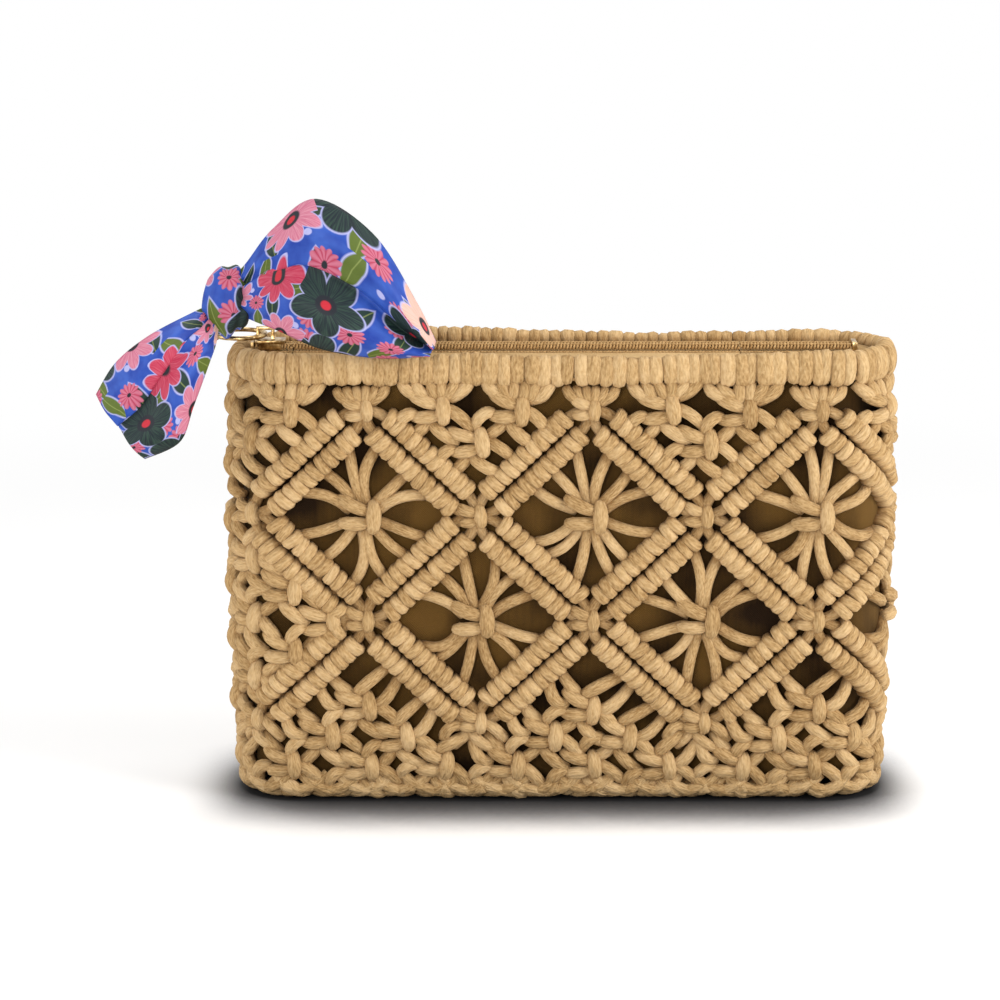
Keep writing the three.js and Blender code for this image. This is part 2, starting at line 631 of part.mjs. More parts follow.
// Cloth between two edges that run outwards from the knot, folded along its length;
// seen from the front and going outwards, the first edge is the one on the right
function tail(first, second, waves, depth) {
  const origin = new THREE.Vector3(ringFar, 0, ringHeight);
  const curve = (edge) => new THREE.CatmullRomCurve3(edge.map((point) => new THREE.Vector3(...point)));
  const edges = [curve(first), curve(second)];
  const [along, across] = [10, 8];
  const positions = [];
  const index = [];
  for (const face of [0, 1]) {
    for (let i = 0; i <= along; i += 1) {
      for (let j = 0; j <= across; j += 1) {
        const place = edges[0].getPoint(i / along).lerp(edges[1].getPoint(i / along), j / across).add(origin);
        const fold = depth * Math.sin(Math.PI * waves * j / across) * Math.min(1, 2 * i / along);
        positions.push(place.x, place.y - Math.abs(fold) + face * clothThickness, place.z);
      }
    }
  }
  const row = across + 1;
  const sheet = row * (along + 1);
  for (let i = 0; i < along; i += 1) {
    for (let j = 0; j < across; j += 1) {
      const a = i * row + j;
      const [b, c, d] = [a + 1, a + row, a + row + 1];
      index.push(a, c, b, b, c, d);
      index.push(a + sheet, b + sheet, c + sheet, b + sheet, d + sheet, c + sheet);
    }
  }
  const rim = [];
  for (let j = 0; j < across; j += 1) rim.push(j);
  for (let i = 0; i < along; i += 1) rim.push(i * row + across);
  for (let j = across; j > 0; j -= 1) rim.push(along * row + j);
  for (let i = along; i > 0; i -= 1) rim.push(i * row);
  rim.forEach((a, i) => {
    const b = rim[(i + 1) % rim.length];
    index.push(a, b, b + sheet, a, b + sheet, a + sheet);
  });
  const geometry = new THREE.BufferGeometry();
  geometry.setAttribute('position', new THREE.Float32BufferAttribute(positions, 3));
  geometry.setIndex(index);
  return solidOf(geometry);
}

// Edges of the tails from the ring's far point, by hand
addPiece('scarf_tail_left', tail(
  [[-6, -20, 11], [-17, -31, 8], [-33, -35, 0], [-48, -35, -17]],
  [[-1, -24, 3], [-3, -34.5, -1], [-13, -35.5, -32], [-30, -35, -42]],
  2,
  4,
), scarfCloth);
addPiece('scarf_tail_right', tail(
  [[14.3, -16, 11], [26, -24, 9], [44, -26, 3], [66, -26, -0.6], [85, -25, -0.6]],
  [[14.3, -16, 28], [22, -20, 47], [39, -26, 58], [62, -27, 43], [78, -26, 15], [86, -25, 4]],
  2,
  7,
), scarfCloth);

export default bag;
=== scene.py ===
import math
import random

import bmesh
import bpy
import numpy as np
from mathutils import Matrix, Vector


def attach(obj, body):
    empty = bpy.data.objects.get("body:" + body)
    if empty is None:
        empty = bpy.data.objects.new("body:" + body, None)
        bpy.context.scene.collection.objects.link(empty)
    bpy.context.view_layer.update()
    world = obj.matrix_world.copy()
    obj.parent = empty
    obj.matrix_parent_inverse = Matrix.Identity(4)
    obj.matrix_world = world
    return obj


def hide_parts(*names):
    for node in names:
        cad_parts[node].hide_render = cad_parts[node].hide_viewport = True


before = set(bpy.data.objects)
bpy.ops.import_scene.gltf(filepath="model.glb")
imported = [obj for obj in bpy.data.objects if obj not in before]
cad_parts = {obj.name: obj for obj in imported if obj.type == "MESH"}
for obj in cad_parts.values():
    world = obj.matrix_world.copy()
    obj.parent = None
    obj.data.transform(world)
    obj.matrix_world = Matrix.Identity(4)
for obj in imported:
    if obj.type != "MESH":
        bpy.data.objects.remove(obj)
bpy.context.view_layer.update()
mm = 0.001  # places on the bag are in millimetres, as on a knotting chart
chance = random.Random(11)
print("frame loaded")

bagForm = {
    "straight": 210,  # flat run of the front and back
    "baseHalf": 25,  # half depth at the floor, belly and mouth
    "bellyHalf": 29,
    "mouthHalf": 26.5,
    "height": 182,
    "unroll": 23,  # radius at which lengths round the ends are measured
    "lowestCord": 2.7,  # cords that reach lower turn in under the base
}
girth = 2 * bagForm["straight"] + 2 * math.pi * bagForm["unroll"]
halfStraight = bagForm["straight"] / 2


def astray(most):
    return chance.uniform(-most, most)


def within(value):  # held between 0 and 1
    return min(1, max(0, value))


def halfDepth(z):
    rise = z / bagForm["height"]
    base = bagForm["baseHalf"] * (1 - rise) * (1 - 2 * rise)
    belly = 4 * bagForm["bellyHalf"] * rise * (1 - rise)
    mouth = bagForm["mouthHalf"] * rise * (2 * rise - 1)
    return base + belly + mouth


def onBag(u, z, inset):  # u runs round the bag from the middle of the front
    tucked = max(0, bagForm["lowestCord"] - z)
    z += tucked
    radius = halfDepth(z) - inset - tucked
    half, run = divmod((u + halfStraight) % girth, girth / 2)
    side = -1 if half == 1 else 1  # the back half is the front half turned round
    x, y = run - halfStraight, -radius
    if run > bagForm["straight"]:
        turn = (run - bagForm["straight"]) / bagForm["unroll"]
        x, y = halfStraight + radius * math.sin(turn), -radius * math.cos(turn)
    return Vector((side * x, side * y, z)) * mm


def onBase(x, y, inset):  # the underside of the net
    return Vector((x, y, inset)) * mm


def around(surface, u, z, lean=0.0, size=1.0, depth=0.0):  # knot places, measured from its middle
    level = math.cos(lean) * size
    slope = math.sin(lean) * size

    def place(across, up, inset):
        return surface(u + across * level - up * slope, z + across * slope + up * level, inset + depth)

    return place


# Cords: each piece of the net is one curve object with a spline for every cord that shows
cordMake = {
    "radius": 2.5,
    "unevenness": 0.05,  # share of the radius
    "steps": 3,  # rings between two points of a cord
    "roundness": 2,  # bevel resolution
    "squareness": 0.7,  # of a pressed cord, 1 for an oval
    "yarnShift": 0.1,  # in metres, so that no two cords show the same stretch of yarn
    "deepFrom": 2.2,  # behind the outside of the net, where the painted shade between the cords starts
    "deepAt": 6.0,
}
cords = {}


def addCord(piece, places, thickness=1.0, swell=None, closed=False, press=None):
    spread = cordMake["unevenness"]
    size = thickness * chance.uniform(1 - spread, 1 + spread)
    widths = [size * share for share in swell or [1] * len(places)]
    cords.setdefault(piece, []).append((places, widths, closed, press))


def layCords(piece, place, paths, thickness, swell=None):
    for path in paths:
        addCord(piece, [place(*point) for point in path], thickness, swell)


def cordCurve(piece):
    curve = bpy.data.curves.new(piece, "CURVE")
    curve.dimensions = "3D"
    curve.resolution_u = cordMake["steps"]
    curve.bevel_depth = cordMake["radius"] * mm
    curve.bevel_resolution = cordMake["roundness"]
    for places, widths, closed, _ in cords[piece]:
        spline = curve.splines.new("BEZIER")
        spline.bezier_points.add(len(places) - 1)
        spline.use_cyclic_u = closed
        for point, place, width in zip(spline.bezier_points, places, widths):
            point.co = place
            point.radius = width
            point.handle_left_type = "AUTO"
            point.handle_right_type = "AUTO"
    return curve


# A cord squeezed between its neighbours gets broad and square along press, (direction, factor)
def pressed(ring, middle, press):
    direction, factor = np.array(press[0]), press[1]
    off = ring - middle[:, None]
    reach = np.linalg.norm(off, axis=2)
    share = (off @ direction) / np.maximum(reach, 1e-9)
    wider = np.sign(share) * np.abs(share) ** cordMake["squareness"] * factor * reach
    return ring + (wider - off @ direction)[:, :, None] * direction


def paintedShade(spots):  # share of painted shade: 0 on the outside of the net, 1 deep between its cords
    x, y, z = (spots / mm).T
    radius = np.hypot(np.maximum(0, np.abs(x) - halfStraight), y)
    edge = cordMake["deepFrom"] - 1
    behind = np.minimum(halfDepth(z) - radius, edge + np.minimum(z, bagForm["height"] - z))
    return np.clip((behind - cordMake["deepFrom"]) / (cordMake["deepAt"] - cordMake["deepFrom"]), 0, 1)


# Vertex attributes: the straightened cord (x and y round it, z along it), its tone, and how deep it lies, for
# the painted shade between cords
def straightenCords(mesh, piece):
    sides = 4 + 2 * cordMake["roundness"]
    turn = 2 * math.pi * np.arange(sides) / sides
    spots = np.zeros(len(mesh.vertices) * 3)
    mesh.vertices.foreach_get("co", spots)
    spots = spots.reshape(-1, 3)
    straight = np.zeros_like(spots)
    tone = np.zeros(len(spots))
    start = 0
    for places, _, closed, press in cords[piece]:
        spans = len(places) if closed else len(places) - 1
        rings = spans * cordMake["steps"] + (0 if closed else 1)
        part = slice(start, start + rings * sides)
        ring = spots[part].reshape(rings, sides, 3)
        middle = ring.mean(axis=1)
        along = np.concatenate([[0], np.linalg.norm(np.diff(middle, axis=0), axis=1).cumsum()])
        along += chance.uniform(0, cordMake["yarnShift"])
        radius = np.linalg.norm(ring - middle[:, None], axis=2)
        straight[part] = np.stack([
            radius * np.cos(turn), radius * np.sin(turn), np.repeat(along[:, None], sides, axis=1),
        ], axis=2).reshape(-1, 3)
        tone[part] = chance.random()
        if press:
            spots[part] = pressed(ring, middle, press).reshape(-1, 3)
        start = part.stop
    if start != len(spots):
        print("cord rings don't add up on", piece)
    mesh.vertices.foreach_set("co", spots.ravel())
    mesh.attributes.new("strand", "FLOAT_VECTOR", "POINT").data.foreach_set("vector", straight.ravel())
    mesh.attributes.new("tone", "FLOAT", "POINT").data.foreach_set("value", tone)
    mesh.attributes.new("paintedShade", "FLOAT", "POINT").data.foreach_set("value", paintedShade(spots))


def linked(name, data):
    piece = bpy.data.objects.new(name, data)
    bpy.context.scene.collection.objects.link(piece)
    return piece


def finished(name, shape, material, body, nodes=(), thickness=0.0, offset=0.0):
    for face in shape.faces:
        face.smooth = True
    mesh = bpy.data.meshes.new(name)
    shape.to_mesh(mesh)
    shape.free()
    mesh.materials.append(material)
    piece = linked(name, mesh)
    if thickness:
        wall = piece.modifiers.new("cloth", "SOLIDIFY")
        wall.thickness = thickness * mm
        wall.offset = offset
    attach(piece, body)
    if nodes:
        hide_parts(*nodes)
    return piece


def makeCordPiece(piece, body, material, nodes):
    holder = linked(piece + "_curve", cordCurve(piece))
    mesh = bpy.data.meshes.new_from_object(holder.evaluated_get(bpy.context.evaluated_depsgraph_get()))
    bpy.data.objects.remove(holder)
    straightenCords(mesh, piece)
    shape = bmesh.new()
    shape.from_mesh(mesh)
    bpy.data.meshes.remove(mesh)
    cutEnds = [edge for edge in shape.edges if edge.is_boundary]
    bmesh.ops.holes_fill(shape, edges=cutEnds, sides=0)
    finished(piece + "_cords", shape, material, body, nodes)


# Cloth: a grid whose places follow from its shares across and along, with its flat size kept for the print
def clothGrid(acrossCount, alongCount, placeOf, flat=(0, 0)):
    shape = bmesh.new()
    bmesh.ops.create_grid(shape, x_segments=acrossCount, y_segments=alongCount, size=1)
    cut = shape.verts.layers.float_vector.new("cloth")
    for vert in shape.verts:
        across, along = (vert.co.x + 1) / 2, (vert.co.y + 1) / 2
        vert.co = placeOf(across, along)
        vert[cut] = (across * flat[0] * mm, along * flat[1] * mm, 0)
    bmesh.ops.remove_doubles(shape, verts=shape.verts, dist=1e-6)
    bmesh.ops.recalc_face_normals(shape, faces=shape.faces)
    return shape


# Shader nodes: an input is a plain value or another node's output
def addNode(tree, kind, inputs, **settings):
    node = tree.nodes.new("ShaderNode" + kind)
    for name, value in settings.items():
        setattr(node, name, value)
    for socket, value in inputs.items():
        if isinstance(value, bpy.types.NodeSocket):
            tree.links.new(value, node.inputs[socket])
        else:
            node.inputs[socket].default_value = value
    return node


def maths(tree, operation, *values):
    return addNode(tree, "Math", dict(enumerate(values)), operation=operation).outputs[0]


def plus(tree, first, second):
    return maths(tree, "ADD", first, second)


def times(tree, first, second):
    return maths(tree, "MULTIPLY", first, second)


def vectorMaths(tree, operation, *values):
    return addNode(tree, "VectorMath", dict(enumerate(values)), operation=operation).outputs


def split(tree, vector):
    return addNode(tree, "SeparateXYZ", {0: vector}).outputs


def opaque(colour):  # a node's output stays as it is
    return (*colour, 1) if isinstance(colour, tuple) else colour


def mixColour(tree, amount, first, second):
    inputs = {0: amount, 6: opaque(first), 7: opaque(second)}
    return addNode(tree, "Mix", inputs, data_type="RGBA").outputs[2]


def noiseNode(tree, vector, scale, detail):
    return addNode(tree, "TexNoise", {"Vector": vector, "Scale": scale, "Detail": detail}).outputs[0]


def mapRange(tree, value, start, end, first, last, easing="LINEAR"):
    inputs = {0: value, 1: start, 2: end, 3: first, 4: last}
    return addNode(tree, "MapRange", inputs, interpolation_type=easing).outputs[0]


def ramp(tree, value, stops, easing="LINEAR"):
    node = addNode(tree, "ValToRGB", {0: value})
    node.color_ramp.interpolation = easing
    while len(node.color_ramp.elements) < len(stops):
        node.color_ramp.elements.new(0.5)
    for element, (place, colour) in zip(node.color_ramp.elements, stops):
        element.position = place
        element.color = opaque(colour)
    return node.outputs[0]


def attribute(tree, name, output):
    return addNode(tree, "Attribute", {}, attribute_name=name).outputs[output]


def objectPlace(tree):
    return addNode(tree, "TexCoord", {}).outputs["Object"]


def newMaterial(name, looks):
    material = bpy.data.materials.new(name)
    material.use_nodes = True
    shader = material.node_tree.nodes["Principled BSDF"]
    for label, value in looks.items():
        shader.inputs[label].default_value = value
    return material, material.node_tree, shader


def coat(tree, shader, colour, height=None, bump=(0, 0)):  # bump is its strength, and distance in metres
    tree.links.new(colour, shader.inputs["Base Color"])
    if height is not None:
        raised = addNode(tree, "Bump", {"Height": height, "Strength": bump[0], "Distance": bump[1]})
        tree.links.new(raised.outputs[0], shader.inputs["Normal"])


# Shared shader effects: a group with these inputs, whose outputs are all plain numbers
def nodeGroup(name, inputs):
    group = bpy.data.node_groups.new(name, "ShaderNodeTree")
    for label, kind in inputs:
        group.interface.new_socket(label, in_out="INPUT", socket_type=kind)
    return group, group.nodes.new("NodeGroupInput").outputs


def handOut(group, results):
    for label in results:
        group.interface.new_socket(label, in_out="OUTPUT", socket_type="NodeSocketFloat")
    end = group.nodes.new("NodeGroupOutput")
    for label, value in results.items():
        group.links.new(value, end.inputs[label])
    return group


# Cotton yarn: fine streaks along the cord, crossed by the slant of its braid
yarnMake = {
    "plaits": 5,  # round the cord
    "slant": 900,
    "braidShare": 0.28,
    "drawnOut": (1, 1, 0.3),  # fibres are long and fine
    "fibreScale": 1900,
    "fibreShare": 1.3,
    "lumpScale": 480,
}
sheenTint = (0.9, 0.68, 0.42, 1)
cordFinish = {
    "looks": {"Roughness": 0.92, "Sheen Weight": 0.12, "Sheen Tint": sheenTint, "Specular IOR Level": 0.2},
    "stops": [(0.38, (0.272, 0.155, 0.056)), (0.58, (0.462, 0.296, 0.132)), (0.78, (0.592, 0.408, 0.210))],
    "toneShare": 0.2,
    "streakShare": 0.75,
    "blotchShare": 0.25,
    "blotchScale": 160,
    "deep": (0.135, 0.052, 0.007),  # painted shade between the cords, where little light gets in
    "deepShare": 0.85,
    "bump": (0.8, 0.0007),
}


def yarnGroup():
    group, given = nodeGroup("cotton yarn", [("Strand", "NodeSocketVector")])
    x, y, z = split(group, given["Strand"])
    turn = times(group, maths(group, "ARCTAN2", y, x), yarnMake["plaits"])
    along = times(group, z, yarnMake["slant"])
    oneWay = maths(group, "SINE", plus(group, turn, along))
    other = maths(group, "SINE", maths(group, "SUBTRACT", turn, along))
    braid = times(group, maths(group, "MAXIMUM", oneWay, other), yarnMake["braidShare"])
    drawn = vectorMaths(group, "MULTIPLY", given["Strand"], yarnMake["drawnOut"])[0]
    fibres = noiseNode(group, drawn, yarnMake["fibreScale"], 4)
    lumps = noiseNode(group, given["Strand"], yarnMake["lumpScale"], 2)
    fuzz = plus(group, times(group, fibres, yarnMake["fibreShare"]), lumps)
    return handOut(group, {"Height": plus(group, braid, fuzz), "Streaks": fibres})


def cordMaterial():
    material, tree, shader = newMaterial("cotton cord", cordFinish["looks"])
    strand = attribute(tree, "strand", "Vector")
    yarn = addNode(tree, "Group", {"Strand": strand}, node_tree=yarnGroup()).outputs
    tone = times(tree, attribute(tree, "tone", "Fac"), cordFinish["toneShare"])
    streaks = times(tree, yarn["Streaks"], cordFinish["streakShare"])
    blotch = times(tree, noiseNode(tree, strand, cordFinish["blotchScale"], 2), cordFinish["blotchShare"])
    colour = ramp(tree, plus(tree, tone, plus(tree, streaks, blotch)), cordFinish["stops"])
    # painted shade: the colour darkens to deep brown where a cord lies deep between the others
    shade = times(tree, attribute(tree, "paintedShade", "Fac"), cordFinish["deepShare"])
    colour = mixColour(tree, shade, colour, cordFinish["deep"])
    coat(tree, shader, colour, yarn["Height"], cordFinish["bump"])
    return material


cottonCord = cordMaterial()
print("cord material ready")

# Rim: net cords folded over a holding cord, side by side round the mouth
rimWrap = {
    "narrowest": 3.8,
    "widest": 5.8,
    "path": [(6.4, 170.6), (4.3, 170.2), (2.7, 171.5), (2.0, 174.3),  # inset and height, from the foot up
             (2.4, 177.3), (4.3, 179.2), (6.0, 177.7), (6.2, 173)],
    "swell": [0.66, 0.86, 1.02, 1.12, 1.1, 1.06, 0.94, 0.9],
    "crest": [0, 0.1, 0.3, 0.7, 1, 1, 0.5, 0],  # share that each point takes of the rise, given as x and rise
    "frontRise": [(-122, 0.1), (-100, 0), (-40, -0.2), (28, -1.2), (75, 0), (105, 1.2), (134, 1.3)],
    "backRise": [(-122, 0.1), (-100, 2.4), (-75, 3.2), (-48, 2.9), (0, 0.9), (35, 0), (93, 1.2), (134, 1.3)],
    "waves": 13,  # round the mouth
    "wave": 0.27,
    "waveStray": 0.315,
    "level": 175,
    "lean": 1.5,  # most that a wrap's foot strays along the rim
    "drop": 0.9,  # and up or down
    "dropPoints": 4,  # over which the drop fades out
    "bow": 0.5,  # sideways, halfway up
    "sink": (-0.3, 0.35),
    "thickness": 0.9,
    "breadth": 1.24,  # pressed wide against its neighbours
    "commonWidth": 4.6,  # of a wrap pressed by just that
}
holdingCord = {"level": 172, "inset": 4.1, "pitch": 12, "thickness": 0.7}


def rimCord(u, width):
    foot = u + astray(rimWrap["lean"])
    sink = chance.uniform(*rimWrap["sink"])
    drop = astray(rimWrap["drop"])
    bow = astray(rimWrap["bow"])
    x, y, _ = onBag(u, rimWrap["level"], 0) / mm
    side = "front" if y < 0 else "back"
    wave = rimWrap["wave"] * math.sin(2 * math.pi * rimWrap["waves"] * u / girth)
    crest = wave + astray(rimWrap["waveStray"]) + np.interp(x, *zip(*rimWrap[side + "Rise"]))
    last = len(rimWrap["path"]) - 1
    places = []
    for k, (inset, z) in enumerate(rimWrap["path"]):
        aside = foot + (u - foot) * k / last + bow * math.sin(k * math.pi / last)
        rise = drop * max(0, 1 - k / rimWrap["dropPoints"]) + crest * rimWrap["crest"][k]
        places.append(onBag(aside, z + rise, inset + sink))
    direction = (onBag(u + 1, rimWrap["level"], 0) - onBag(u - 1, rimWrap["level"], 0)).normalized()
    press = (direction, rimWrap["breadth"] * width / rimWrap["commonWidth"])
    addCord("rim_wraps_" + side, places, rimWrap["thickness"], rimWrap["swell"], press=press)


def rim():
    widths = []
    while sum(widths) < girth:
        widths.append(chance.uniform(rimWrap["narrowest"], rimWrap["widest"]))
    share = girth / sum(widths)
    u = 0
    for width in widths:
        u += width * share / 2
        rimCord(u, width)
        u += width * share / 2
    spots = np.arange(0, girth, holdingCord["pitch"])
    holding = [onBag(u, holdingCord["level"], holdingCord["inset"]) for u in spots]
    addCord("rim_holding_cord", holding, holdingCord["thickness"], closed=True)


rim()
print("rim wrapped")

# Diamond lattice: pairs of bars, each a carrying cord wrapped with clove hitches
latticeChart = {
    "firstColumn": -77.8,
    "width": 88.8,
    "height": 84.6,
    "count": 6,
    "top": 159,
    "frontPast": 8,  # how far the front's piece reaches past its last column
    "pairSpacing": 9.3,
    "endGap": 8.3,  # from a crossing to the first hitch
    "hitchPitch": 4.2,  # between turns; two turns make a hitch
    "hitchPath": [(-2.2, 8.0), (-2.6, 5.8), (-2.4, 3.4), (-1.4, 2.3), (0, 2.0),  # across the bar, and inset
                  (1.4, 2.3), (2.4, 3.4), (2.6, 5.8), (2.2, 8.0)],
    "hitchThickness": 0.73,
    "hitchBreadth": 1.28,  # how far a turn is pressed wide between its neighbours
    "breadthStray": 0.06,
    "lean": 0.2,
    "bend": 0.35,
    "carrier": (-0.02, 0.1, 0.3, 0.5, 0.7, 0.9, 1.02),  # points of the carrying cord, as shares of the bar
    "carrierSpread": 6,  # how soon it leaves the crossing for its own line
    "carrierInset": 5.4,
    "carrierThickness": 0.92,
    "crossingLean": 0.1,
    "crossingSize": 0.72,
    "crossingThickness": 0.9,
    "riseThickness": 0.86,
    "legSize": 0.86,
    "legThickness": 0.95,
}
halfWide = latticeChart["width"] / 2
halfHigh = latticeChart["height"] / 2
columns = [latticeChart["firstColumn"] + i * latticeChart["width"] for i in range(latticeChart["count"])]
rows = [latticeChart["top"] - i * halfHigh for i in range(4)]
diamonds = [(c, rows[1]) for c in columns] + [(c + halfWide, rows[2]) for c in columns[:-1]]

squareKnot = {  # two cords across, and the loop that holds them, standing on the right
    "upper": [(-10.0, 6.2, 5.4), (-8.0, 5.2, 3.4), (-4.6, 3.6, 2.4), (-0.2, 2.0, 3.8)],
    "lower": [(-9.4, -2.8, 5.2), (-7.2, -2.6, 3.3), (-4.0, -2.4, 2.4), (-0.2, -2.1, 3.8)],
    "upright": [(1.3, 4.8, 5.8), (1.8, 3.4, 3.0), (2.1, 0, 1.7), (2.0, -3.4, 3.0), (1.5, -4.8, 5.8)],
}
crossSwell = [0.7, 1, 1.06, 0.9]
knotSwell = {"upper": crossSwell, "lower": crossSwell, "upright": [0.75, 1.06, 1.2, 1.06, 0.75]}
legPaths = [  # two cords to each of the knots below: left in front and behind, right in front and behind
    [(-8.4, -1.6, 4.8), (-11.3, -1.3, 3.0), (-14.0, -3.4, 2.7), (-15.6, -7.6, 5.0)],
    [(-3.4, -4.4, 5.8), (-6.0, -6.8, 4.6), (-8.8, -9.2, 4.6), (-11.0, -11.6, 5.8)],
    [(2.6, 0.4, 5.4), (6.0, -1.0, 3.2), (9.4, -3.8, 3.0), (12.6, -8.2, 5.2)],
    [(-3.0, -4.8, 5.4), (-0.2, -7.6, 3.4), (3.4, -10.4, 3.1), (7.2, -12.6, 5.0)],
]
upPaths = [[(across, -up, inset) for across, up, inset in path] for path in legPaths]
riseSteps = [(0.36, 3.8, 5.0), (0.62, 6.2, 3.7), (0.86, 8.6, 3.5), (1, 11.6, 5.6)]  # down from the rim
riseEnds = (-13.4, -8, -2.7, 2.7, 8, 13.4)
risePaths = [[(share * end, up, inset) for share, up, inset in riseSteps] for end in riseEnds]


def sideOf(u):  # which lattice piece a place on the bag belongs to
    place = onBag(u, bagForm["height"] / 2, 0) / mm
    if place.y < 0 and place.x < columns[2] + latticeChart["frontPast"]:
        return "lattice_front"
    return "lattice_back" if place.y > 0 and place.x < halfStraight else "lattice_right_end"


def latticeLines():
    found = []
    for column in columns:
        for outer in (column - halfWide, column + halfWide):
            zigzag = [(column, rows[0]), (outer, rows[1]), (column, rows[2]), (outer, rows[3])]
            found += zip(zigzag, zigzag[1:])
    return found


def bar(piece, start, end, shift):
    run, rise = end[0] - start[0], end[1] - start[1]
    length = math.hypot(run, rise)
    along = (run / length, rise / length)

    def place(step, side, inset):
        return onBag(start[0] + along[0] * step - along[1] * side,
                     start[1] + along[1] * step + along[0] * side, inset)

    gap = latticeChart["endGap"]
    count = round((length - 2 * gap) / latticeChart["hitchPitch"])
    bend = 0
    for i in range(count):
        reach = gap + (i + 0.5) * (length - 2 * gap) / count
        lean = astray(latticeChart["lean"])
        bend = bend if i % 2 else astray(latticeChart["bend"])
        places = []
        for offset, inset in latticeChart["hitchPath"]:
            places.append(place(reach + lean * offset, shift + offset, inset + bend))
        direction = (place(reach + 1, 0, 2) - place(reach - 1, 0, 2)).normalized()
        breadth = latticeChart["hitchBreadth"] * (1 + astray(latticeChart["breadthStray"]))
        addCord(piece, places, latticeChart["hitchThickness"], press=(direction, breadth))
    shares = latticeChart["carrier"]
    carrier = []
    for share in shares:
        spread = latticeChart["carrierSpread"] * min(share - shares[0], shares[-1] - share)
        carrier.append(place(share * length, shift * min(1, spread), latticeChart["carrierInset"]))
    addCord(piece, carrier, latticeChart["carrierThickness"])


def knotCords(piece, place, thickness):
    for strand, path in squareKnot.items():
        layCords(piece, place, [path], thickness, knotSwell[strand])


def crossing(u, z):
    piece = sideOf(u)
    place = around(onBag, u, z, astray(latticeChart["crossingLean"]), latticeChart["crossingSize"])
    knotCords(piece, place, latticeChart["crossingThickness"])
    if z == rows[0]:  # the topmost crossings hang from the rim
        layCords(piece, place, risePaths, latticeChart["riseThickness"])
    if z == rows[3]:  # the lowest ones run on into the fields
        below = around(onBag, u, z, 0, latticeChart["legSize"])
        layCords(piece, below, legPaths, latticeChart["legThickness"])


def lattice():
    for start, end in lines:
        for way in (-1, 1):
            bar(sideOf((start[0] + end[0]) / 2), start, end, way * latticeChart["pairSpacing"] / 2)
    for column in columns:
        for k in (0, 2):
            crossing(column, rows[k])
    for i in range(latticeChart["count"] + 1):
        for k in (1, 3):
            crossing(columns[0] + (i - 0.5) * latticeChart["width"], rows[k])


lines = latticeLines()
lattice()
print("lattice knotted")

# Spider knots: a large square knot whose cords fan out to the bars of its diamond
spiderKnot = {
    "hubShift": 1.6,
    "hubLean": 0.08,
    "hubSize": 1.14,
    "hubThickness": 1.08,
    "raise": 0.9,  # of the hub over its legs
    "upperAngles": (22, 47, 76, 101, 131, 157),  # where the legs go, from the right, in degrees
    "lowerAngles": (-20, -46, -73, -103, -132, -158),
    "angleStray": 5,
    "hubSpread": 5.4,  # half the width over which they leave the hub
    "hubHeight": 4.6,
    "hubRound": 0.55,
    "tuck": 7.4,  # how far the legs' ends stay inside the lattice line
    "bow": 0.12,  # share of a leg's length
    "fan": 0.6,  # how much of it is outwards, beside 1 for the stray
    "deep": (-0.4, 1.0),
    "legStart": 5.6,
    "legInsets": [(0.28, 4.3), (0.62, 3.6), (1, 6.6)],  # share of the length, and inset
    "thickness": 0.92,
}
upperSides = ["front_left", "front_middle", "front_right", "back_right", "back_middle", "back_left"]
lowerSides = ["front_left", "front_right", "right_end", "back_right", "back_left"]


def spiderLeg(piece, place, way, angle, share):  # share runs from 1 to -1 across the hub
    turn = math.radians(angle + astray(spiderKnot["angleStray"]))
    slant = math.hypot(1 / halfWide, 1 / halfHigh)
    steep = abs(math.cos(turn)) / halfWide + abs(math.sin(turn)) / halfHigh
    reach = (1 - spiderKnot["tuck"] * slant) / steep
    x = share * spiderKnot["hubSpread"]
    y = way * spiderKnot["hubHeight"] * (1 - spiderKnot["hubRound"] * share * share)
    run, rise = reach * math.cos(turn) - x, reach * math.sin(turn) - y
    bow = spiderKnot["bow"] * (share * way * spiderKnot["fan"] + astray(1))
    deep = chance.uniform(*spiderKnot["deep"])
    path = [(x, y, spiderKnot["legStart"])]
    for k, inset in spiderKnot["legInsets"]:
        bulge = 4 * k * (1 - k) * bow
        path.append((x + run * k - rise * bulge, y + rise * k + run * bulge, inset + deep * (1 - k)))
    layCords(piece, place, [path], spiderKnot["thickness"])


def spider(piece, u, z):
    hub = around(onBag, u + spiderKnot["hubShift"], z, astray(spiderKnot["hubLean"]), spiderKnot["hubSize"],
                 -spiderKnot["raise"])
    knotCords(piece, hub, spiderKnot["hubThickness"])
    for way, angles in ((1, spiderKnot["upperAngles"]), (-1, spiderKnot["lowerAngles"])):
        for i, angle in enumerate(angles):
            spiderLeg(piece, around(onBag, u, z), way, angle, 1 - 2 * i / (len(angles) - 1))


spiders = ["spider_upper_" + side for side in upperSides] + ["spider_lower_" + side for side in lowerSides]
for piece, (u, z) in zip(spiders, diamonds):
    spider(piece, u, z)
print("spider knots tied")

# Fields of alternating square knots, above, below and beside the lattice
fieldChart = {
    "pitch": latticeChart["width"] / 3,
    "lowest": 14.2,
    "drop": 12,
    "rowCount": 13,
    "clear": 9.0,  # from a knot's middle to the nearest lattice line
    "size": 1.04,
    "thickness": 1.04,
    "legThickness": 1.02,
    "legSwell": [0.85, 1.05, 1.05, 0.85],
    "barReach": 10,  # cords this near to a lattice line dive under its bars
    "dive": 0.5,
    "hidden": 6,  # a cord's end this near to a line doesn't show
    "longest": 9,  # half lengths by which a cord may be drawn out to get there
    "jitter": 0.9,
    "lean": 0.16,
    "riseStray": 0.9,
}


def apart(u, other):  # the short way round the bag
    return (u - other + girth / 2) % girth - girth / 2


def lineDistance(u, z):
    nearest = girth
    for (u0, z0), (u1, z1) in lines:
        run, rise = u1 - u0, z1 - z0
        du, dz = apart(u, u0), z - z0
        share = within((du * run + dz * rise) / (run * run + rise * rise))
        nearest = min(nearest, math.hypot(du - share * run, dz - share * rise))
    return nearest


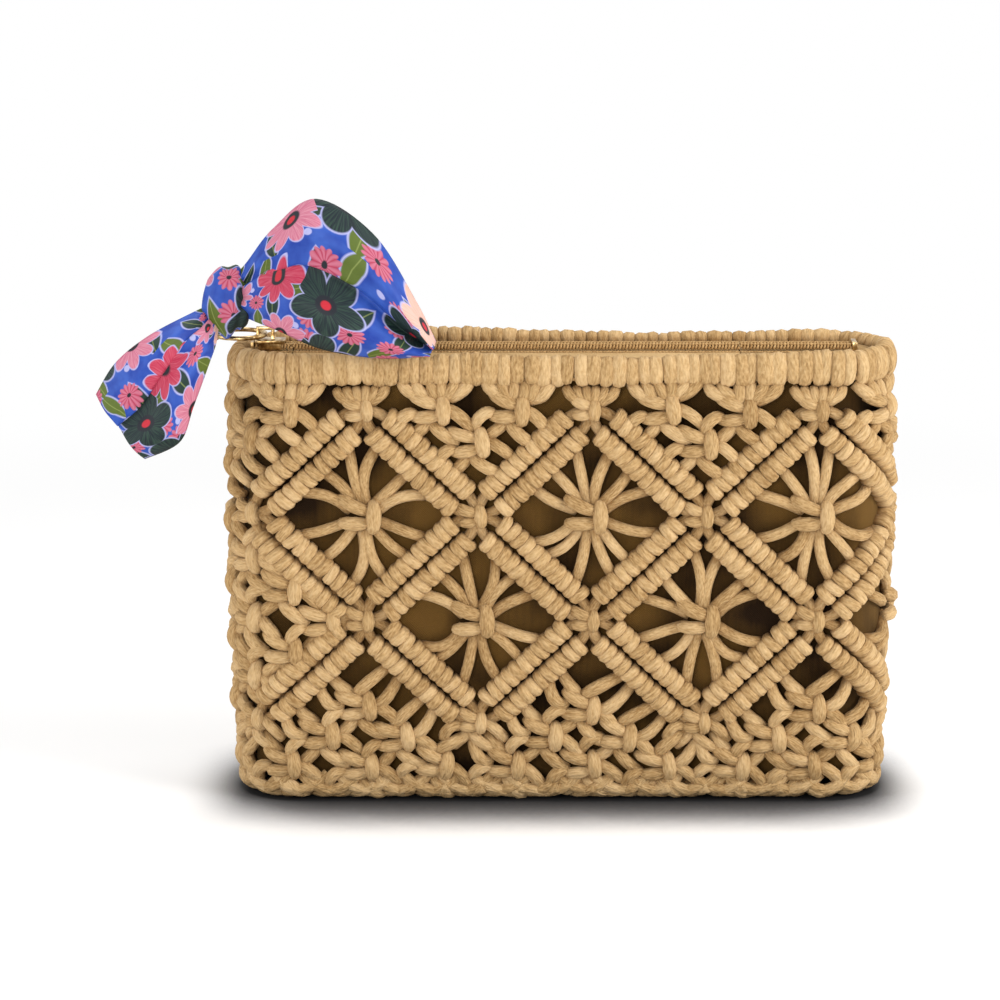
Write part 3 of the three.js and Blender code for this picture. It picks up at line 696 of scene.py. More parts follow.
def diamondRoom(u, z):  # 1 in the middle of a diamond, 0 on its lattice lines and less outside
    return max(1 - abs(apart(u, c)) / halfWide - abs(z - r) / halfHigh for c, r in diamonds)


def fieldOf(u, z):
    nearest = min(columns, key=lambda c: abs(apart(u, c)))
    if z > rows[1] and columns[0] - 1 < u < columns[-1] + 1:
        index = columns.index(nearest) - (1 if apart(u, nearest) < 0 else 0)
        return "square_knots_upper_" + lowerSides[min(len(lowerSides) - 1, max(0, index))]
    border = fieldChart["pitch"] / 4
    edges = [columns[0] - 3 * border, columns[2] - border, columns[3] + border, columns[5] + 3 * border]
    for name, start, end in zip(("front", "right_end", "back"), edges, edges[1:]):
        if start < u < end:
            return "square_knots_lower_" + name
    return "square_knots_left_end"


def knotColumns():  # three to a diamond; the plain left end takes up the rest
    pitch = fieldChart["pitch"]
    count = round((columns[-1] - columns[0]) / pitch)
    spots = [columns[0] + i * pitch for i in range(count + 1)]
    rest = girth - (columns[-1] - columns[0])
    ends = round(rest / pitch)
    return spots + [columns[-1] + i * rest / ends for i in range(1, ends)]


def chartKnots():  # (row, index) to place, of every knot that the lattice leaves room for
    spots = knotColumns()
    found = {}
    for row in range(fieldChart["rowCount"]):
        z = fieldChart["lowest"] + row * fieldChart["drop"]
        for i, spot in enumerate(spots):
            following = spots[i + 1] if i + 1 < len(spots) else spots[0] + girth
            u = spot if row % 2 == 0 else (spot + following) / 2
            if diamondRoom(u, z) <= 0 and lineDistance(u, z) > fieldChart["clear"]:
                found[row, i] = (u, z)
    return found, len(spots)


def flatChart(u, z, inset):
    return u, z, inset


def dived(place):  # the same places, but lower where a bar is near
    def lower(across, up, inset):
        u, z, inset = place(across, up, inset)
        near = max(0, fieldChart["barReach"] - lineDistance(u, z))
        return onBag(u, z, inset + fieldChart["dive"] * near)

    return lower


def reachingBars(place, paths):  # drawn out until their ends are hidden by a bar; left off where none is near
    drawn = []
    for path in paths:
        across, up, inset = path[-1]
        run, rise = across - path[-2][0], up - path[-2][1]
        for step in range(fieldChart["longest"]):
            tip = (across + run * step / 2, up + rise * step / 2, inset)
            u, z, _ = place(*tip)
            if lineDistance(u, z) < fieldChart["hidden"]:
                drawn.append(path[:-1] + [tip])
                break
    return drawn


def knotFields():
    found, count = chartKnots()
    loose = fieldChart["jitter"]
    for (row, i), (u, z) in found.items():
        piece = fieldOf(u, z)
        place = around(flatChart, u + astray(loose), z + astray(loose), astray(fieldChart["lean"]),
                       fieldChart["size"])
        knotCords(piece, dived(place), fieldChart["thickness"])
        paths = list(legPaths)
        left = (row + 1, i if row % 2 else (i - 1) % count)
        right = (row + 1, (i + 1) % count if row % 2 else i)
        if row == fieldChart["rowCount"] - 1:
            stray = fieldChart["riseStray"]
            for path in risePaths:
                paths.append([(across + astray(stray), up, inset) for across, up, inset in path])
        else:  # cords that come from under the bars
            paths += [] if left in found else reachingBars(place, upPaths[:2])
            paths += [] if right in found else reachingBars(place, upPaths[2:])
        layCords(piece, dived(place), paths, fieldChart["legThickness"], fieldChart["legSwell"])


knotFields()
print("square-knot fields tied")

# Base: the net's cords turn under the edge and are knotted across the underside
baseNet = {
    "edgePitch": 6.8,
    "edgePath": [(-7.5, 10.5, 4.4), (-3.5, 6.6, 2.7), (2.0, 4.2, 2.7), (7.0, 3.0, 4.4), (11.0, 2.7, 8.5)],
    "edgeStray": 0.25,  # share of the path's length
    "edgeThickness": 0.96,
    "rows": (-1, 0, 1),
    "rowDrop": 12.4,
    "past": 4,  # how far the knots go on past the straight run
    "lift": 0.6,
    "lean": 0.08,
    "size": 0.96,
    "thickness": 0.92,
    "legThickness": 0.86,
}


def base():
    count = round(girth / baseNet["edgePitch"])
    for i in range(count):
        u = i * girth / count
        way = (1 if i % 2 else -1) * (1 + astray(baseNet["edgeStray"]))
        path = [onBag(u + way * across, z, inset) for across, z, inset in baseNet["edgePath"]]
        addCord("base_knots", path, baseNet["edgeThickness"])
    half = round(halfStraight / fieldChart["pitch"]) + 1
    for row in baseNet["rows"]:
        for i in range(-half, half + 1):
            x = (i + (row % 2) / 2) * fieldChart["pitch"] / 2
            if abs(x) > halfStraight + baseNet["past"]:
                continue
            place = around(onBase, x, row * baseNet["rowDrop"], astray(baseNet["lean"]), baseNet["size"],
                           baseNet["lift"])
            knotCords("base_knots", place, baseNet["thickness"])
            layCords("base_knots", place, legPaths, baseNet["legThickness"])


base()
for piece in sorted(cords):
    makeCordPiece(piece, "bag", cottonCord, [piece])
print("net made,", sum(len(found) for found in cords.values()), "cords")

# Woven cloth: threads over and under, at the pitch given, with slubs
weaveMake = {
    "looks": {"Roughness": 0.9, "Sheen Weight": 0.05, "Sheen Tint": sheenTint, "Specular IOR Level": 0.15},
    "drawnOut": (1, 1, 0.12),  # slubs are long
    "slubScale": 900,
    "slubShare": 0.08,
    "patchScale": 30,
    "patchShare": 0.92,
    "darkTo": 0.36,
    "lightFrom": 0.62,
    "bump": (0.5, 0.0003),
}


def weaveGroup():
    group, given = nodeGroup("plain weave", [("Place", "NodeSocketVector"), ("Threads", "NodeSocketFloat")])
    x, y, z = split(group, given["Place"])
    rate = times(group, given["Threads"], 2 * math.pi)  # threads are counted to the metre
    warp = maths(group, "SINE", times(group, plus(group, x, y), rate))
    weft = maths(group, "SINE", times(group, z, rate))
    drawn = vectorMaths(group, "MULTIPLY", given["Place"], weaveMake["drawnOut"])[0]
    slubs = noiseNode(group, drawn, weaveMake["slubScale"], 2)
    return handOut(group, {"Height": times(group, warp, weft), "Slubs": slubs})


weave = weaveGroup()


def wovenMaterial(name, make):
    material, tree, shader = newMaterial(name, weaveMake["looks"])
    place = objectPlace(tree)
    cloth = addNode(tree, "Group", {"Place": place, "Threads": make["threads"]}, node_tree=weave).outputs
    slubs = times(tree, cloth["Slubs"], weaveMake["slubShare"])
    # broad patches between the dark and light tones: painted shade on the lining, uneven tone on the zip tape
    patches = times(tree, noiseNode(tree, place, weaveMake["patchScale"], 2), weaveMake["patchShare"])
    stops = [(weaveMake["darkTo"], make["dark"]), (weaveMake["lightFrom"], make["light"])]
    colour = ramp(tree, plus(tree, slubs, patches), stops)
    coat(tree, shader, colour, cloth["Height"], weaveMake["bump"])
    return material


# Lining: a stuffed cotton pouch behind the net, bulging where the diamonds leave it free, its colour darkened
# with painted shade
liningMake = {
    "inset": 8.6,  # behind the outside of the net
    "swell": 1.6,
    "swellGain": 2.2,  # how soon a diamond's bulge is full
    "endSwell": 1.2,  # fuller at the round ends
    "endReach": 14,
    "mouth": 177.3,
    "mouthReach": 12,
    "floor": 5.6,
    "floorReach": 7,  # height over which the sides turn in to the floor
    "floorTurn": 4,
    "cloth": 0.8,
    "grid": (150, 48),
    "flat": (0.56, 0.192),  # cut size with its seams
    "threads": 1100,
    # painted shade: the lining's brown is darkened, with a near-black dark tone, for the shade in the net's
    # holes
    "dark": (0.012, 0.0045, 0.0004),
    "light": (0.120, 0.061, 0.0128),
}
liningCloth = wovenMaterial("lining cloth", liningMake)


def eased(share):
    return share * share * (3 - 2 * share)


def liningPlace(across, along):
    u = across * girth
    z = liningMake["floor"] + along * (liningMake["mouth"] - liningMake["floor"])
    bulge = eased(within(liningMake["swellGain"] * diamondRoom(u, z)))
    past = abs(onBag(u, z, 0).x) / mm - halfStraight
    end = within(past / liningMake["endReach"]) * min(1, (liningMake["mouth"] - z) / liningMake["mouthReach"])
    turn = max(0, 1 - (z - liningMake["floor"]) / liningMake["floorReach"])
    inset = liningMake["inset"] - liningMake["swell"] * bulge - liningMake["endSwell"] * end
    return onBag(u, z, inset + liningMake["floorTurn"] * turn * turn)


def lining():
    shape = clothGrid(*liningMake["grid"], liningPlace)
    halfway = bagForm["height"] * mm / 2
    bottom = [edge for edge in shape.edges if edge.is_boundary and edge.verts[0].co.z < halfway]
    bmesh.ops.holes_fill(shape, edges=bottom, sides=0)
    bmesh.ops.recalc_face_normals(shape, faces=shape.faces)
    pouch = finished("lining_cloth", shape, liningCloth, "bag", ["lining_pouch"],
                     liningMake["cloth"], -1)


lining()
print("lining sewn")

# Zip: woven tapes, spiral coils sewn on them, and the sewn ends that the slider parks on
zipMake = {
    "run": (-105.8, 69.8),  # of the two free tapes
    "tapeEdge": 18.0,  # from the middle to the sewn edge
    "tapeInner": 1.0,
    "level": 178.2,
    "ripple": 0.12,
    "ripples": (3, 40),  # across and along
    "cloth": 0.6,
    "grid": (14, 90),
    "threads": 1250,
    "dark": (0.40, 0.245, 0.098),
    "light": (0.58, 0.385, 0.18),
}
tapeCloth = wovenMaterial("zip tape", zipMake)


coilMake = {
    "middle": 2.3,
    "halfWidth": 0.84,
    "level": 180.1,
    "halfHeight": 0.72,
    "pitch": 1.3,
    "wire": 0.18,  # share of the cord's radius
    "thread": 0.11,
    "seams": [(2.0, 3.0, 181.2), (5.3, 6.1, 178.75)],  # that hold the coil to its tape: from, to and level
    "looks": {"Roughness": 0.65, "Specular IOR Level": 0.2},
    "toneScale": 300,
    "stops": [(0.3, (0.34, 0.195, 0.072)), (0.7, (0.54, 0.345, 0.15))],
}


def coilMaterial():
    material, tree, shader = newMaterial("nylon coil", coilMake["looks"])
    tone = noiseNode(tree, attribute(tree, "strand", "Vector"), coilMake["toneScale"], 1)
    coat(tree, shader, ramp(tree, tone, coilMake["stops"]))
    return material


nylonCoil = coilMaterial()


def coil(piece, start, end, side):
    turns = round((end - start) / coilMake["pitch"])
    steps = 6 * turns
    spiral = []
    for k in range(steps + 1):
        turn = k * math.pi / 3
        y = coilMake["middle"] + coilMake["halfWidth"] * math.cos(turn)
        z = coilMake["level"] + coilMake["halfHeight"] * math.sin(turn)
        spiral.append(Vector((start + (end - start) * k / steps, side * y, z)) * mm)
    addCord(piece, spiral, coilMake["wire"])
    stitches = 2 * turns
    for first, second, level in coilMake["seams"]:
        seam = []
        for k in range(stitches + 1):
            y = first if k % 2 else second
            seam.append(Vector((start + (end - start) * k / stitches, side * y, level)) * mm)
        addCord(piece, seam, coilMake["thread"])


def zipTape(side, name):
    low, high = zipMake["run"]

    def place(across, along):
        y = zipMake["tapeInner"] + across * (zipMake["tapeEdge"] - zipMake["tapeInner"])
        ripple = math.sin(zipMake["ripples"][0] * across + zipMake["ripples"][1] * along) * across
        z = zipMake["level"] + zipMake["ripple"] * ripple
        return Vector((low + along * (high - low), side * y, z)) * mm

    shape = clothGrid(*zipMake["grid"], place)
    tape = finished("zip_tape_" + name + "_cloth", shape, tapeCloth, name + "_flap",
                    ["zip_tape_" + name], zipMake["cloth"])
    coil("zip_coil_" + name, low, high, side)
    makeCordPiece("zip_coil_" + name, name + "_flap", nylonCoil, ["zip_coil_" + name])


def sliced(shape, x, y, direction, clear=False):
    whole = shape.faces[:] + shape.edges[:] + shape.verts[:]
    bmesh.ops.bisect_plane(shape, geom=whole, plane_co=(x * mm, y * mm, 0), plane_no=direction,
                           clear_inner=clear)


zipEnds = {
    "left": {"inner": -106.3, "outward": -1, "tip": -121, "area": 0.00047, "coilRun": (-120.4, -106.6)},
    "right": {"inner": 70.3, "outward": 1, "tip": 117, "area": 0.0017, "coilRun": (70.6, 114)},
}


def sewnEnd(name, inner, outward, tip, area, coilRun):  # a tape end rounded to the mouth, slit for the slider
    shape = bmesh.new()
    middle = Matrix.Translation(Vector((outward * halfStraight, 0, zipMake["level"])) * mm)
    bmesh.ops.create_circle(shape, cap_ends=True, segments=64, radius=zipMake["tapeEdge"] * mm, matrix=middle)
    if abs(inner) < halfStraight:  # the half towards the zip is drawn out to its edge
        for vert in shape.verts:
            if vert.co.x * outward < (halfStraight - 1e-6) * mm:
                vert.co.x = inner * mm
    else:
        sliced(shape, inner, 0, (outward, 0, 0), True)
    for side in (-1, 1):
        sliced(shape, 0, side * zipMake["tapeInner"], (0, 1, 0))
    sliced(shape, tip, 0, (1, 0, 0))
    slit = []
    for face in shape.faces:
        spot = face.calc_center_median() / mm
        if abs(spot.y) < zipMake["tapeInner"] and spot.x * outward < tip * outward:
            slit.append(face)
    bmesh.ops.delete(shape, geom=slit, context="FACES")
    bmesh.ops.triangulate(shape, faces=shape.faces[:])
    end = finished("zip_end_" + name + "_cloth", shape, tapeCloth, "bag", ["zip_end_" + name],
                   zipMake["cloth"])
    for side in (-1, 1):
        coil("zip_end_" + name + "_coil", *coilRun, side)
    makeCordPiece("zip_end_" + name + "_coil", "bag", nylonCoil, [])


zipTape(-1, "front")
zipTape(1, "back")
for name, make in zipEnds.items():
    sewnEnd(name, **make)
print("zip sewn in")

# Slider, ring pull and stops in pale antique gold
goldFinish = {
    "stops": [(0.36, (0.20, 0.11, 0.035)), (0.62, (0.64, 0.46, 0.22))],  # aged and bright
    "stainScale": 420,
    "dull": 0.42,  # roughness where it is aged
    "polished": 0.2,
    "grainScale": 2600,
    "bump": (0.15, 0.0002),
}


def goldMaterial():
    material, tree, shader = newMaterial("antique gold", {"Metallic": 1})
    place = objectPlace(tree)
    stain = noiseNode(tree, place, goldFinish["stainScale"], 4)
    rough = mapRange(tree, stain, 0, 1, goldFinish["dull"], goldFinish["polished"])
    tree.links.new(rough, shader.inputs["Roughness"])
    grain = noiseNode(tree, place, goldFinish["grainScale"], 2)
    coat(tree, shader, ramp(tree, stain, goldFinish["stops"]), grain, goldFinish["bump"])
    return material


antiqueGold = goldMaterial()


hardwareMake = {
    "edge": 0.28,  # how far edges are rounded over
    "sameFace": 2,  # degrees between faces that count as one
    "roundFrom": 34.4,  # degrees at an edge that is rounded over, and at one that stays a crease
    "creaseFrom": 40,
    "ringMiddle": (-126.9, 0, 184.8),
    "ringRadius": 10,
    "wireRadius": 0.9,
}


def softened(node, name, body):  # a merged copy of a hard piece, with its edges rounded over
    shape = bmesh.new()
    shape.from_mesh(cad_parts[node].data)
    bmesh.ops.remove_doubles(shape, verts=shape.verts, dist=1e-6)
    bmesh.ops.dissolve_limit(shape, angle_limit=math.radians(hardwareMake["sameFace"]), verts=shape.verts,
                             edges=shape.edges)
    steep = math.radians(hardwareMake["roundFrom"])
    sharp = [edge for edge in shape.edges if edge.is_manifold and edge.calc_face_angle(0) > steep]
    bmesh.ops.bevel(shape, geom=sharp, offset=hardwareMake["edge"] * mm, offset_type="OFFSET", segments=2,
                    profile=0.5, affect="EDGES", material=-1, clamp_overlap=True)
    piece = finished(name, shape, antiqueGold, body, [node])
    piece.data.set_sharp_from_angle(angle=math.radians(hardwareMake["creaseFrom"]))


def pullRing():
    middle = Vector(hardwareMake["ringMiddle"]) * mm
    side = middle + Vector((hardwareMake["ringRadius"] * mm, 0, 0))
    standing = Matrix.Translation(side) @ Matrix.Rotation(math.pi / 2, 4, "X")
    shape = bmesh.new()
    bmesh.ops.create_circle(shape, segments=20, radius=hardwareMake["wireRadius"] * mm, matrix=standing)
    bmesh.ops.spin(shape, geom=shape.verts[:] + shape.edges[:], cent=middle, axis=(0, 0, 1),
                   angle=2 * math.pi, steps=80, use_merge=True)
    bmesh.ops.recalc_face_normals(shape, faces=shape.faces)
    finished("pull_ring_wire", shape, antiqueGold, "ring", ["pull_ring"])


softened("zip_slider", "slider_body", "slider")
for stop in ("zip_top_stop_front", "zip_top_stop_back", "zip_bottom_stop"):
    softened(stop, stop + "_clip", "bag")
pullRing()
print("hardware made")

# Scarf: a printed satin ribbon, looped through the ring and knotted, with two free tails
printMake = {
    "looks": {"Roughness": 0.55, "Specular IOR Level": 0.25},
    "ground": [(0.35, (0.008, 0.036, 0.27)), (0.65, (0.030, 0.088, 0.40))],
    "washScale": 110,
    "scatter": 0.55,  # 0 for motifs in a plain grid
    "outline": (0.36, 0.37, 0.64),
    "core": (0.010, 0.012, 0.018),
    "threadScale": 1500,
    "bump": (0.12, 0.0003),
}


# Motifs strewn over the cloth, one to a cell, each turned its own way
def strewnGroup():
    group, given = nodeGroup("strewn motifs", [
        ("Place", "NodeSocketVector"), ("Spacing", "NodeSocketFloat"), ("Shift", "NodeSocketVector"),
    ])
    rate = maths(group, "DIVIDE", 1, given["Spacing"])
    scaled = addNode(group, "VectorMath", {0: given["Place"], "Scale": rate}, operation="SCALE").outputs[0]
    moved = vectorMaths(group, "ADD", scaled, given["Shift"])[0]
    cells = addNode(group, "TexVoronoi", {"Vector": moved, "Scale": 1, "Randomness": printMake["scatter"]},
                    voronoi_dimensions="2D").outputs
    x, y, _ = split(group, vectorMaths(group, "SUBTRACT", moved, cells["Position"])[0])
    turned, pick, size = addNode(group, "SeparateColor", {0: cells["Color"]}).outputs
    turn = plus(group, maths(group, "ARCTAN2", y, x), times(group, turned, 2 * math.pi))
    reach = cells["Distance"]
    return handOut(group, {
        "Across": times(group, reach, maths(group, "COSINE", turn)),
        "Along": times(group, reach, maths(group, "SINE", turn)),
        "Reach": reach,
        "Turn": turn,
        "Pick": pick,
        "Size": size,
    })


def inside(tree, limit, value, sharpness):  # 1 where value is below limit, with a soft edge
    room = maths(tree, "SUBTRACT", limit, value)
    return addNode(tree, "Math", {0: room, 1: sharpness}, operation="MULTIPLY", use_clamp=True).outputs[0]


# Sizes of motifs are shares of their spacing, which is in metres
dotPrint = {"spacing": 0.008, "shift": (3.3, 1.7, 0), "leftOut": 0.8, "radius": 0.2, "sharpness": 20}


def dotLayer(tree, dots, colour):
    few = maths(tree, "GREATER_THAN", dots["Pick"], dotPrint["leftOut"])
    spot = times(tree, few, inside(tree, dotPrint["radius"], dots["Reach"], dotPrint["sharpness"]))
    return mixColour(tree, spot, colour, printMake["outline"])


leafPrint = {
    "spacing": 0.0165,
    "shift": (7.1, 4.4, 0),
    "length": 0.56,
    "width": 0.2,
    "margin": 0.035,
    "sharpness": 30,
    "colours": [(0.3, (0.082, 0.118, 0.017)), (0.7, (0.009, 0.027, 0.021))],
    "vein": (0.26, 0.31, 0.09),
    "veinWidth": 0.018,
    "veinSharpness": 60,
    "veinShare": 0.6,
}


def leafLayer(tree, leaves, colour):
    along = times(tree, leaves["Across"], 1 / leafPrint["length"])
    width = times(tree, maths(tree, "SUBTRACT", 1, times(tree, along, along)), leafPrint["width"])
    off = maths(tree, "ABSOLUTE", leaves["Along"])
    edge = inside(tree, plus(tree, width, leafPrint["margin"]), off, leafPrint["sharpness"])
    colour = mixColour(tree, edge, colour, printMake["outline"])
    vein = inside(tree, leafPrint["veinWidth"], off, leafPrint["veinSharpness"])
    green = ramp(tree, leaves["Pick"], leafPrint["colours"])
    green = mixColour(tree, times(tree, vein, leafPrint["veinShare"]), green, leafPrint["vein"])
    return mixColour(tree, inside(tree, width, off, leafPrint["sharpness"]), colour, green)


daisyPrint = {
    "spacing": 0.0135,
    "shift": (5.3, 2.6, 0),
    "leftOut": 0.6,
    "rays": 6.5,  # half their number
    "radius": 0.3,
    "fringe": 0.1,
    "sharpness": 30,
    "core": 0.08,
    "coreSharpness": 40,
    "colour": (0.34, 0.024, 0.065),
    "rayColour": (0.47, 0.13, 0.20),
}


def daisyLayer(tree, daisies, colour):
    rays = maths(tree, "ABSOLUTE", maths(tree, "SINE", times(tree, daisies["Turn"], daisyPrint["rays"])))
    edge = plus(tree, times(tree, rays, daisyPrint["fringe"]), daisyPrint["radius"])
    few = maths(tree, "GREATER_THAN", daisies["Pick"], daisyPrint["leftOut"])
    rosy = mixColour(tree, rays, daisyPrint["colour"], daisyPrint["rayColour"])
    flower = inside(tree, edge, daisies["Reach"], daisyPrint["sharpness"])
    colour = mixColour(tree, times(tree, few, flower), colour, rosy)
    core = inside(tree, daisyPrint["core"], daisies["Reach"], daisyPrint["coreSharpness"])
    return mixColour(tree, times(tree, few, core), colour, printMake["core"])


blossomPrint = {
    "spacing": 0.029,
    "shift": (20.4, 14.1, 0),
    "petals": 2.5,  # half their number: five in all, or eight with the next value added
    "morePetals": 1.5,
    "radius": 0.36,
    "radiusSpread": 0.1,
    "inner": 0.62,  # reach between the petals, and what a petal adds
    "petal": 0.42,
    "margin": 0.02,
    "core": 0.3,
    "eye": 0.15,
    "eyeColour": (0.46, 0.02, 0.035),
    "colours": [(0.0, (0.005, 0.012, 0.017)), (0.12, (0.64, 0.36, 0.29)), (0.32, (0.36, 0.003, 0.010)),
                (0.48, (0.40, 0.025, 0.065)), (0.86, (0.47, 0.13, 0.21))],
    "streaks": [(0.0, (0.035, 0.075, 0.05)), (0.12, (0.76, 0.54, 0.48)), (0.32, (0.48, 0.06, 0.08)),
                (0.48, (0.54, 0.12, 0.17)), (0.86, (0.64, 0.32, 0.38))],
    "streakStops": [(0.42, (0, 0, 0)), (0.66, (1, 1, 1))],
    "streakTurns": 5,
    "streakScale": 3.4,
    "streakShare": 0.6,
}


def petalColour(tree, blossoms):  # streaked from the middle outwards
    aside = times(tree, blossoms["Turn"], blossomPrint["streakTurns"])
    place = addNode(tree, "CombineXYZ", {0: aside, 1: blossoms["Reach"]}).outputs[0]
    streaks = ramp(tree, noiseNode(tree, place, blossomPrint["streakScale"], 3), blossomPrint["streakStops"])
    plain = ramp(tree, blossoms["Pick"], blossomPrint["colours"], "CONSTANT")
    pale = ramp(tree, blossoms["Pick"], blossomPrint["streaks"], "CONSTANT")
    return mixColour(tree, times(tree, streaks, blossomPrint["streakShare"]), plain, pale)


def blossomLayer(tree, blossoms, colour):
    many = maths(tree, "GREATER_THAN", blossoms["Pick"], 0.5)
    count = plus(tree, times(tree, many, blossomPrint["morePetals"]), blossomPrint["petals"])
    lobes = maths(tree, "ABSOLUTE", maths(tree, "COSINE", times(tree, blossoms["Turn"], count)))
    size = plus(tree, times(tree, blossoms["Size"], blossomPrint["radiusSpread"]), blossomPrint["radius"])
    edge = times(tree, size, plus(tree, times(tree, lobes, blossomPrint["petal"]), blossomPrint["inner"]))
    layers = [  # limit, sharpness of the edge and colour, from the outline in
        (plus(tree, edge, blossomPrint["margin"]), 50, printMake["outline"]),
        (edge, 40, petalColour(tree, blossoms)),
        (times(tree, size, blossomPrint["core"]), 50, printMake["core"]),
        (times(tree, size, blossomPrint["eye"]), 60, blossomPrint["eyeColour"]),
    ]
    for limit, sharpness, paint in layers:
        colour = mixColour(tree, inside(tree, limit, blossoms["Reach"], sharpness), colour, paint)
    return colour


def scarfMaterial():
    material, tree, shader = newMaterial("printed satin", printMake["looks"])
    place = attribute(tree, "cloth", "Vector")
    colour = ramp(tree, noiseNode(tree, place, printMake["washScale"], 3), printMake["ground"])
    motifs = strewnGroup()
    for motif, layer in ((dotPrint, dotLayer), (leafPrint, leafLayer), (daisyPrint, daisyLayer),
                         (blossomPrint, blossomLayer)):
        inputs = {"Place": place, "Spacing": motif["spacing"], "Shift": motif["shift"]}
        colour = layer(tree, addNode(tree, "Group", inputs, node_tree=motifs).outputs, colour)
    threads = noiseNode(tree, place, printMake["threadScale"], 2)
    coat(tree, shader, colour, threads, printMake["bump"])
    return material


printedSatin = scarfMaterial()


def through(points, share):  # a smooth line through the points
    count = len(points) - 1
    k = min(int(share * count), count - 1)
    t = share * count - k
    a, b, c, d = (Vector(points[min(max(i, 0), count)]) for i in (k - 1, k, k + 1, k + 2))
    bend = (2 * a - 5 * b + 4 * c - d) * t * t
    twist = (3 * b - a - 3 * c + d) * t ** 3
    return 0.5 * (2 * b + (c - a) * t + bend + twist)


ringFar = Vector((-136.9, 0, 184.8))
ribbonMake = {
    "cloth": 0.5,
    "grid": (48, 56),
    "lapFrom": 0.46,  # across the ribbon, where the front panel starts to turn under
    "lapSpan": 0.2,
    "lapTuck": 0.075,  # how far the cloth turns back under the lap
    "lapRise": 0.3,  # where it is at its full height
    "leaving": 6,  # how soon along it the ribbon is out of the knot, and open
    "opening": 2,
    "ripple": 0.5,
    "ripples": (9, 5),  # across and along
    "pleat": 1.5,  # by the knot
    "pleats": 7,
    "pleatFade": 4,
}


def scarfPiece(node, shape, thickness=ribbonMake["cloth"]):
    return finished(node + "_cloth", shape, printedSatin, "scarf", [node], thickness)


tails = {
    "left": {
        "lower": [(3, -15, 8), (2.4, -25, 1), (0, -32.5, -6), (-6, -35.5, -22), (-11.5, -35.5, -35.8),
                  (-25.2, -35, -42.6)],
        "upper": [(-1, -13, 14), (-7, -20, 12), (-23, -32, 5), (-35.6, -35, -5), (-43.4, -35, -17.4)],
        "depth": 5.5,
        "lap": 3.0,  # how far the front panel stands over the other
        "lapFade": 1.6,  # share of the length that it fades over
        "flat": (52, 66),
    },
    "right": {
        "lower": [(5, -12, 14), (14.3, -17, 9.4), (26, -24.5, 6), (44, -29.6, -0.6), (66, -30.4, -3.8),
                  (85, -29.4, -3.2)],
        "upper": [(5, -12, 21), (14, -16, 31), (25, -20, 45), (42, -26, 57.4), (64, -27, 43.6),
                  (80, -27, 17.6), (87.6, -28.4, 2)],
        "depth": 7,
        "lap": 3.0,
        "lapFade": 0.85,
        "flat": (58, 96),
    },
}


def scarfTail(name):
    tail = tails[name]

    def place(across, along):
        leaving = min(1, ribbonMake["leaving"] * along)
        opened = min(1, ribbonMake["opening"] * along)
        held = leaving * max(0, 1 - (along / tail["lapFade"]) ** 3)
        under = within((across - ribbonMake["lapFrom"]) / ribbonMake["lapSpan"])
        aside = across + ribbonMake["lapTuck"] * held * math.sin(2 * math.pi * under)
        spot = through(tail["lower"], along).lerp(through(tail["upper"], along), aside)
        fold = tail["depth"] * abs(math.sin(2 * math.pi * across)) * opened
        lap = tail["lap"] * held * min(1, across / ribbonMake["lapRise"]) * (1 - eased(under))
        ripple = math.sin(ribbonMake["ripples"][0] * across + ribbonMake["ripples"][1] * along) * opened
        pleats = math.sin(ribbonMake["pleats"] * math.pi * across) * leaving
        gather = ribbonMake["pleat"] * pleats * math.exp(-ribbonMake["pleatFade"] * along)
        return (ringFar + spot + Vector((0, ribbonMake["ripple"] * ripple + gather - fold - lap, 0))) * mm

    return scarfPiece("scarf_tail_" + name, clothGrid(*ribbonMake["grid"], place, tail["flat"]))


loopMake = {
    "radius": 8.5,
    "rise": 6.6,
    "width": 4.2,
    "narrowed": 0.62,
    "shift": 3.2,  # of its top, towards the knot
    "lean": 5.6,  # how far its top is drawn forward into the knot
    "pleat": 0.22,
    "grid": (10, 72),
    "flat": (4.2, 53),
}


def scarfLoop():
    middle = ringFar + Vector((0, 0, loopMake["rise"]))

    def place(across, along):
        turn = 2 * math.pi * along
        high = (1 + math.sin(turn)) / 2  # 1 at the loop's top
        pleat = loopMake["pleat"] * math.sin(across * 3 * math.pi) * (1 + math.sin(turn * 2)) / 2
        radius = loopMake["radius"] + pleat
        x = loopMake["narrowed"] * radius * math.cos(turn) + loopMake["shift"] * high
        y = (across - 0.5) * loopMake["width"] - loopMake["lean"] * high
        return (middle + Vector((x, y, radius * math.sin(turn)))) * mm

    return scarfPiece("scarf_loop", clothGrid(*loopMake["grid"], place, loopMake["flat"]))


knotMake = {
    "middle": (-130.6, -13.6, 200.2),
    "size": (11.0, 9.2, 14.2),
    "lean": 0.16,
    "fullness": 0.82,  # below 1 the ends are fuller than a ball's
    "waist": 0.24,
    "hollow": 0.4,  # the ends sink in where the tails leave
    "hollowFrom": 0.84,
    "pleat": 0.05,
    "pleats": 8,
    "pleatTwist": 1.2,
    "crease": 0.12,  # along the wrap's edge
    "creaseAt": 0.55,
    "creaseWidth": 0.1,
    "printRadius": 11.5,
    "printShift": 40,
}


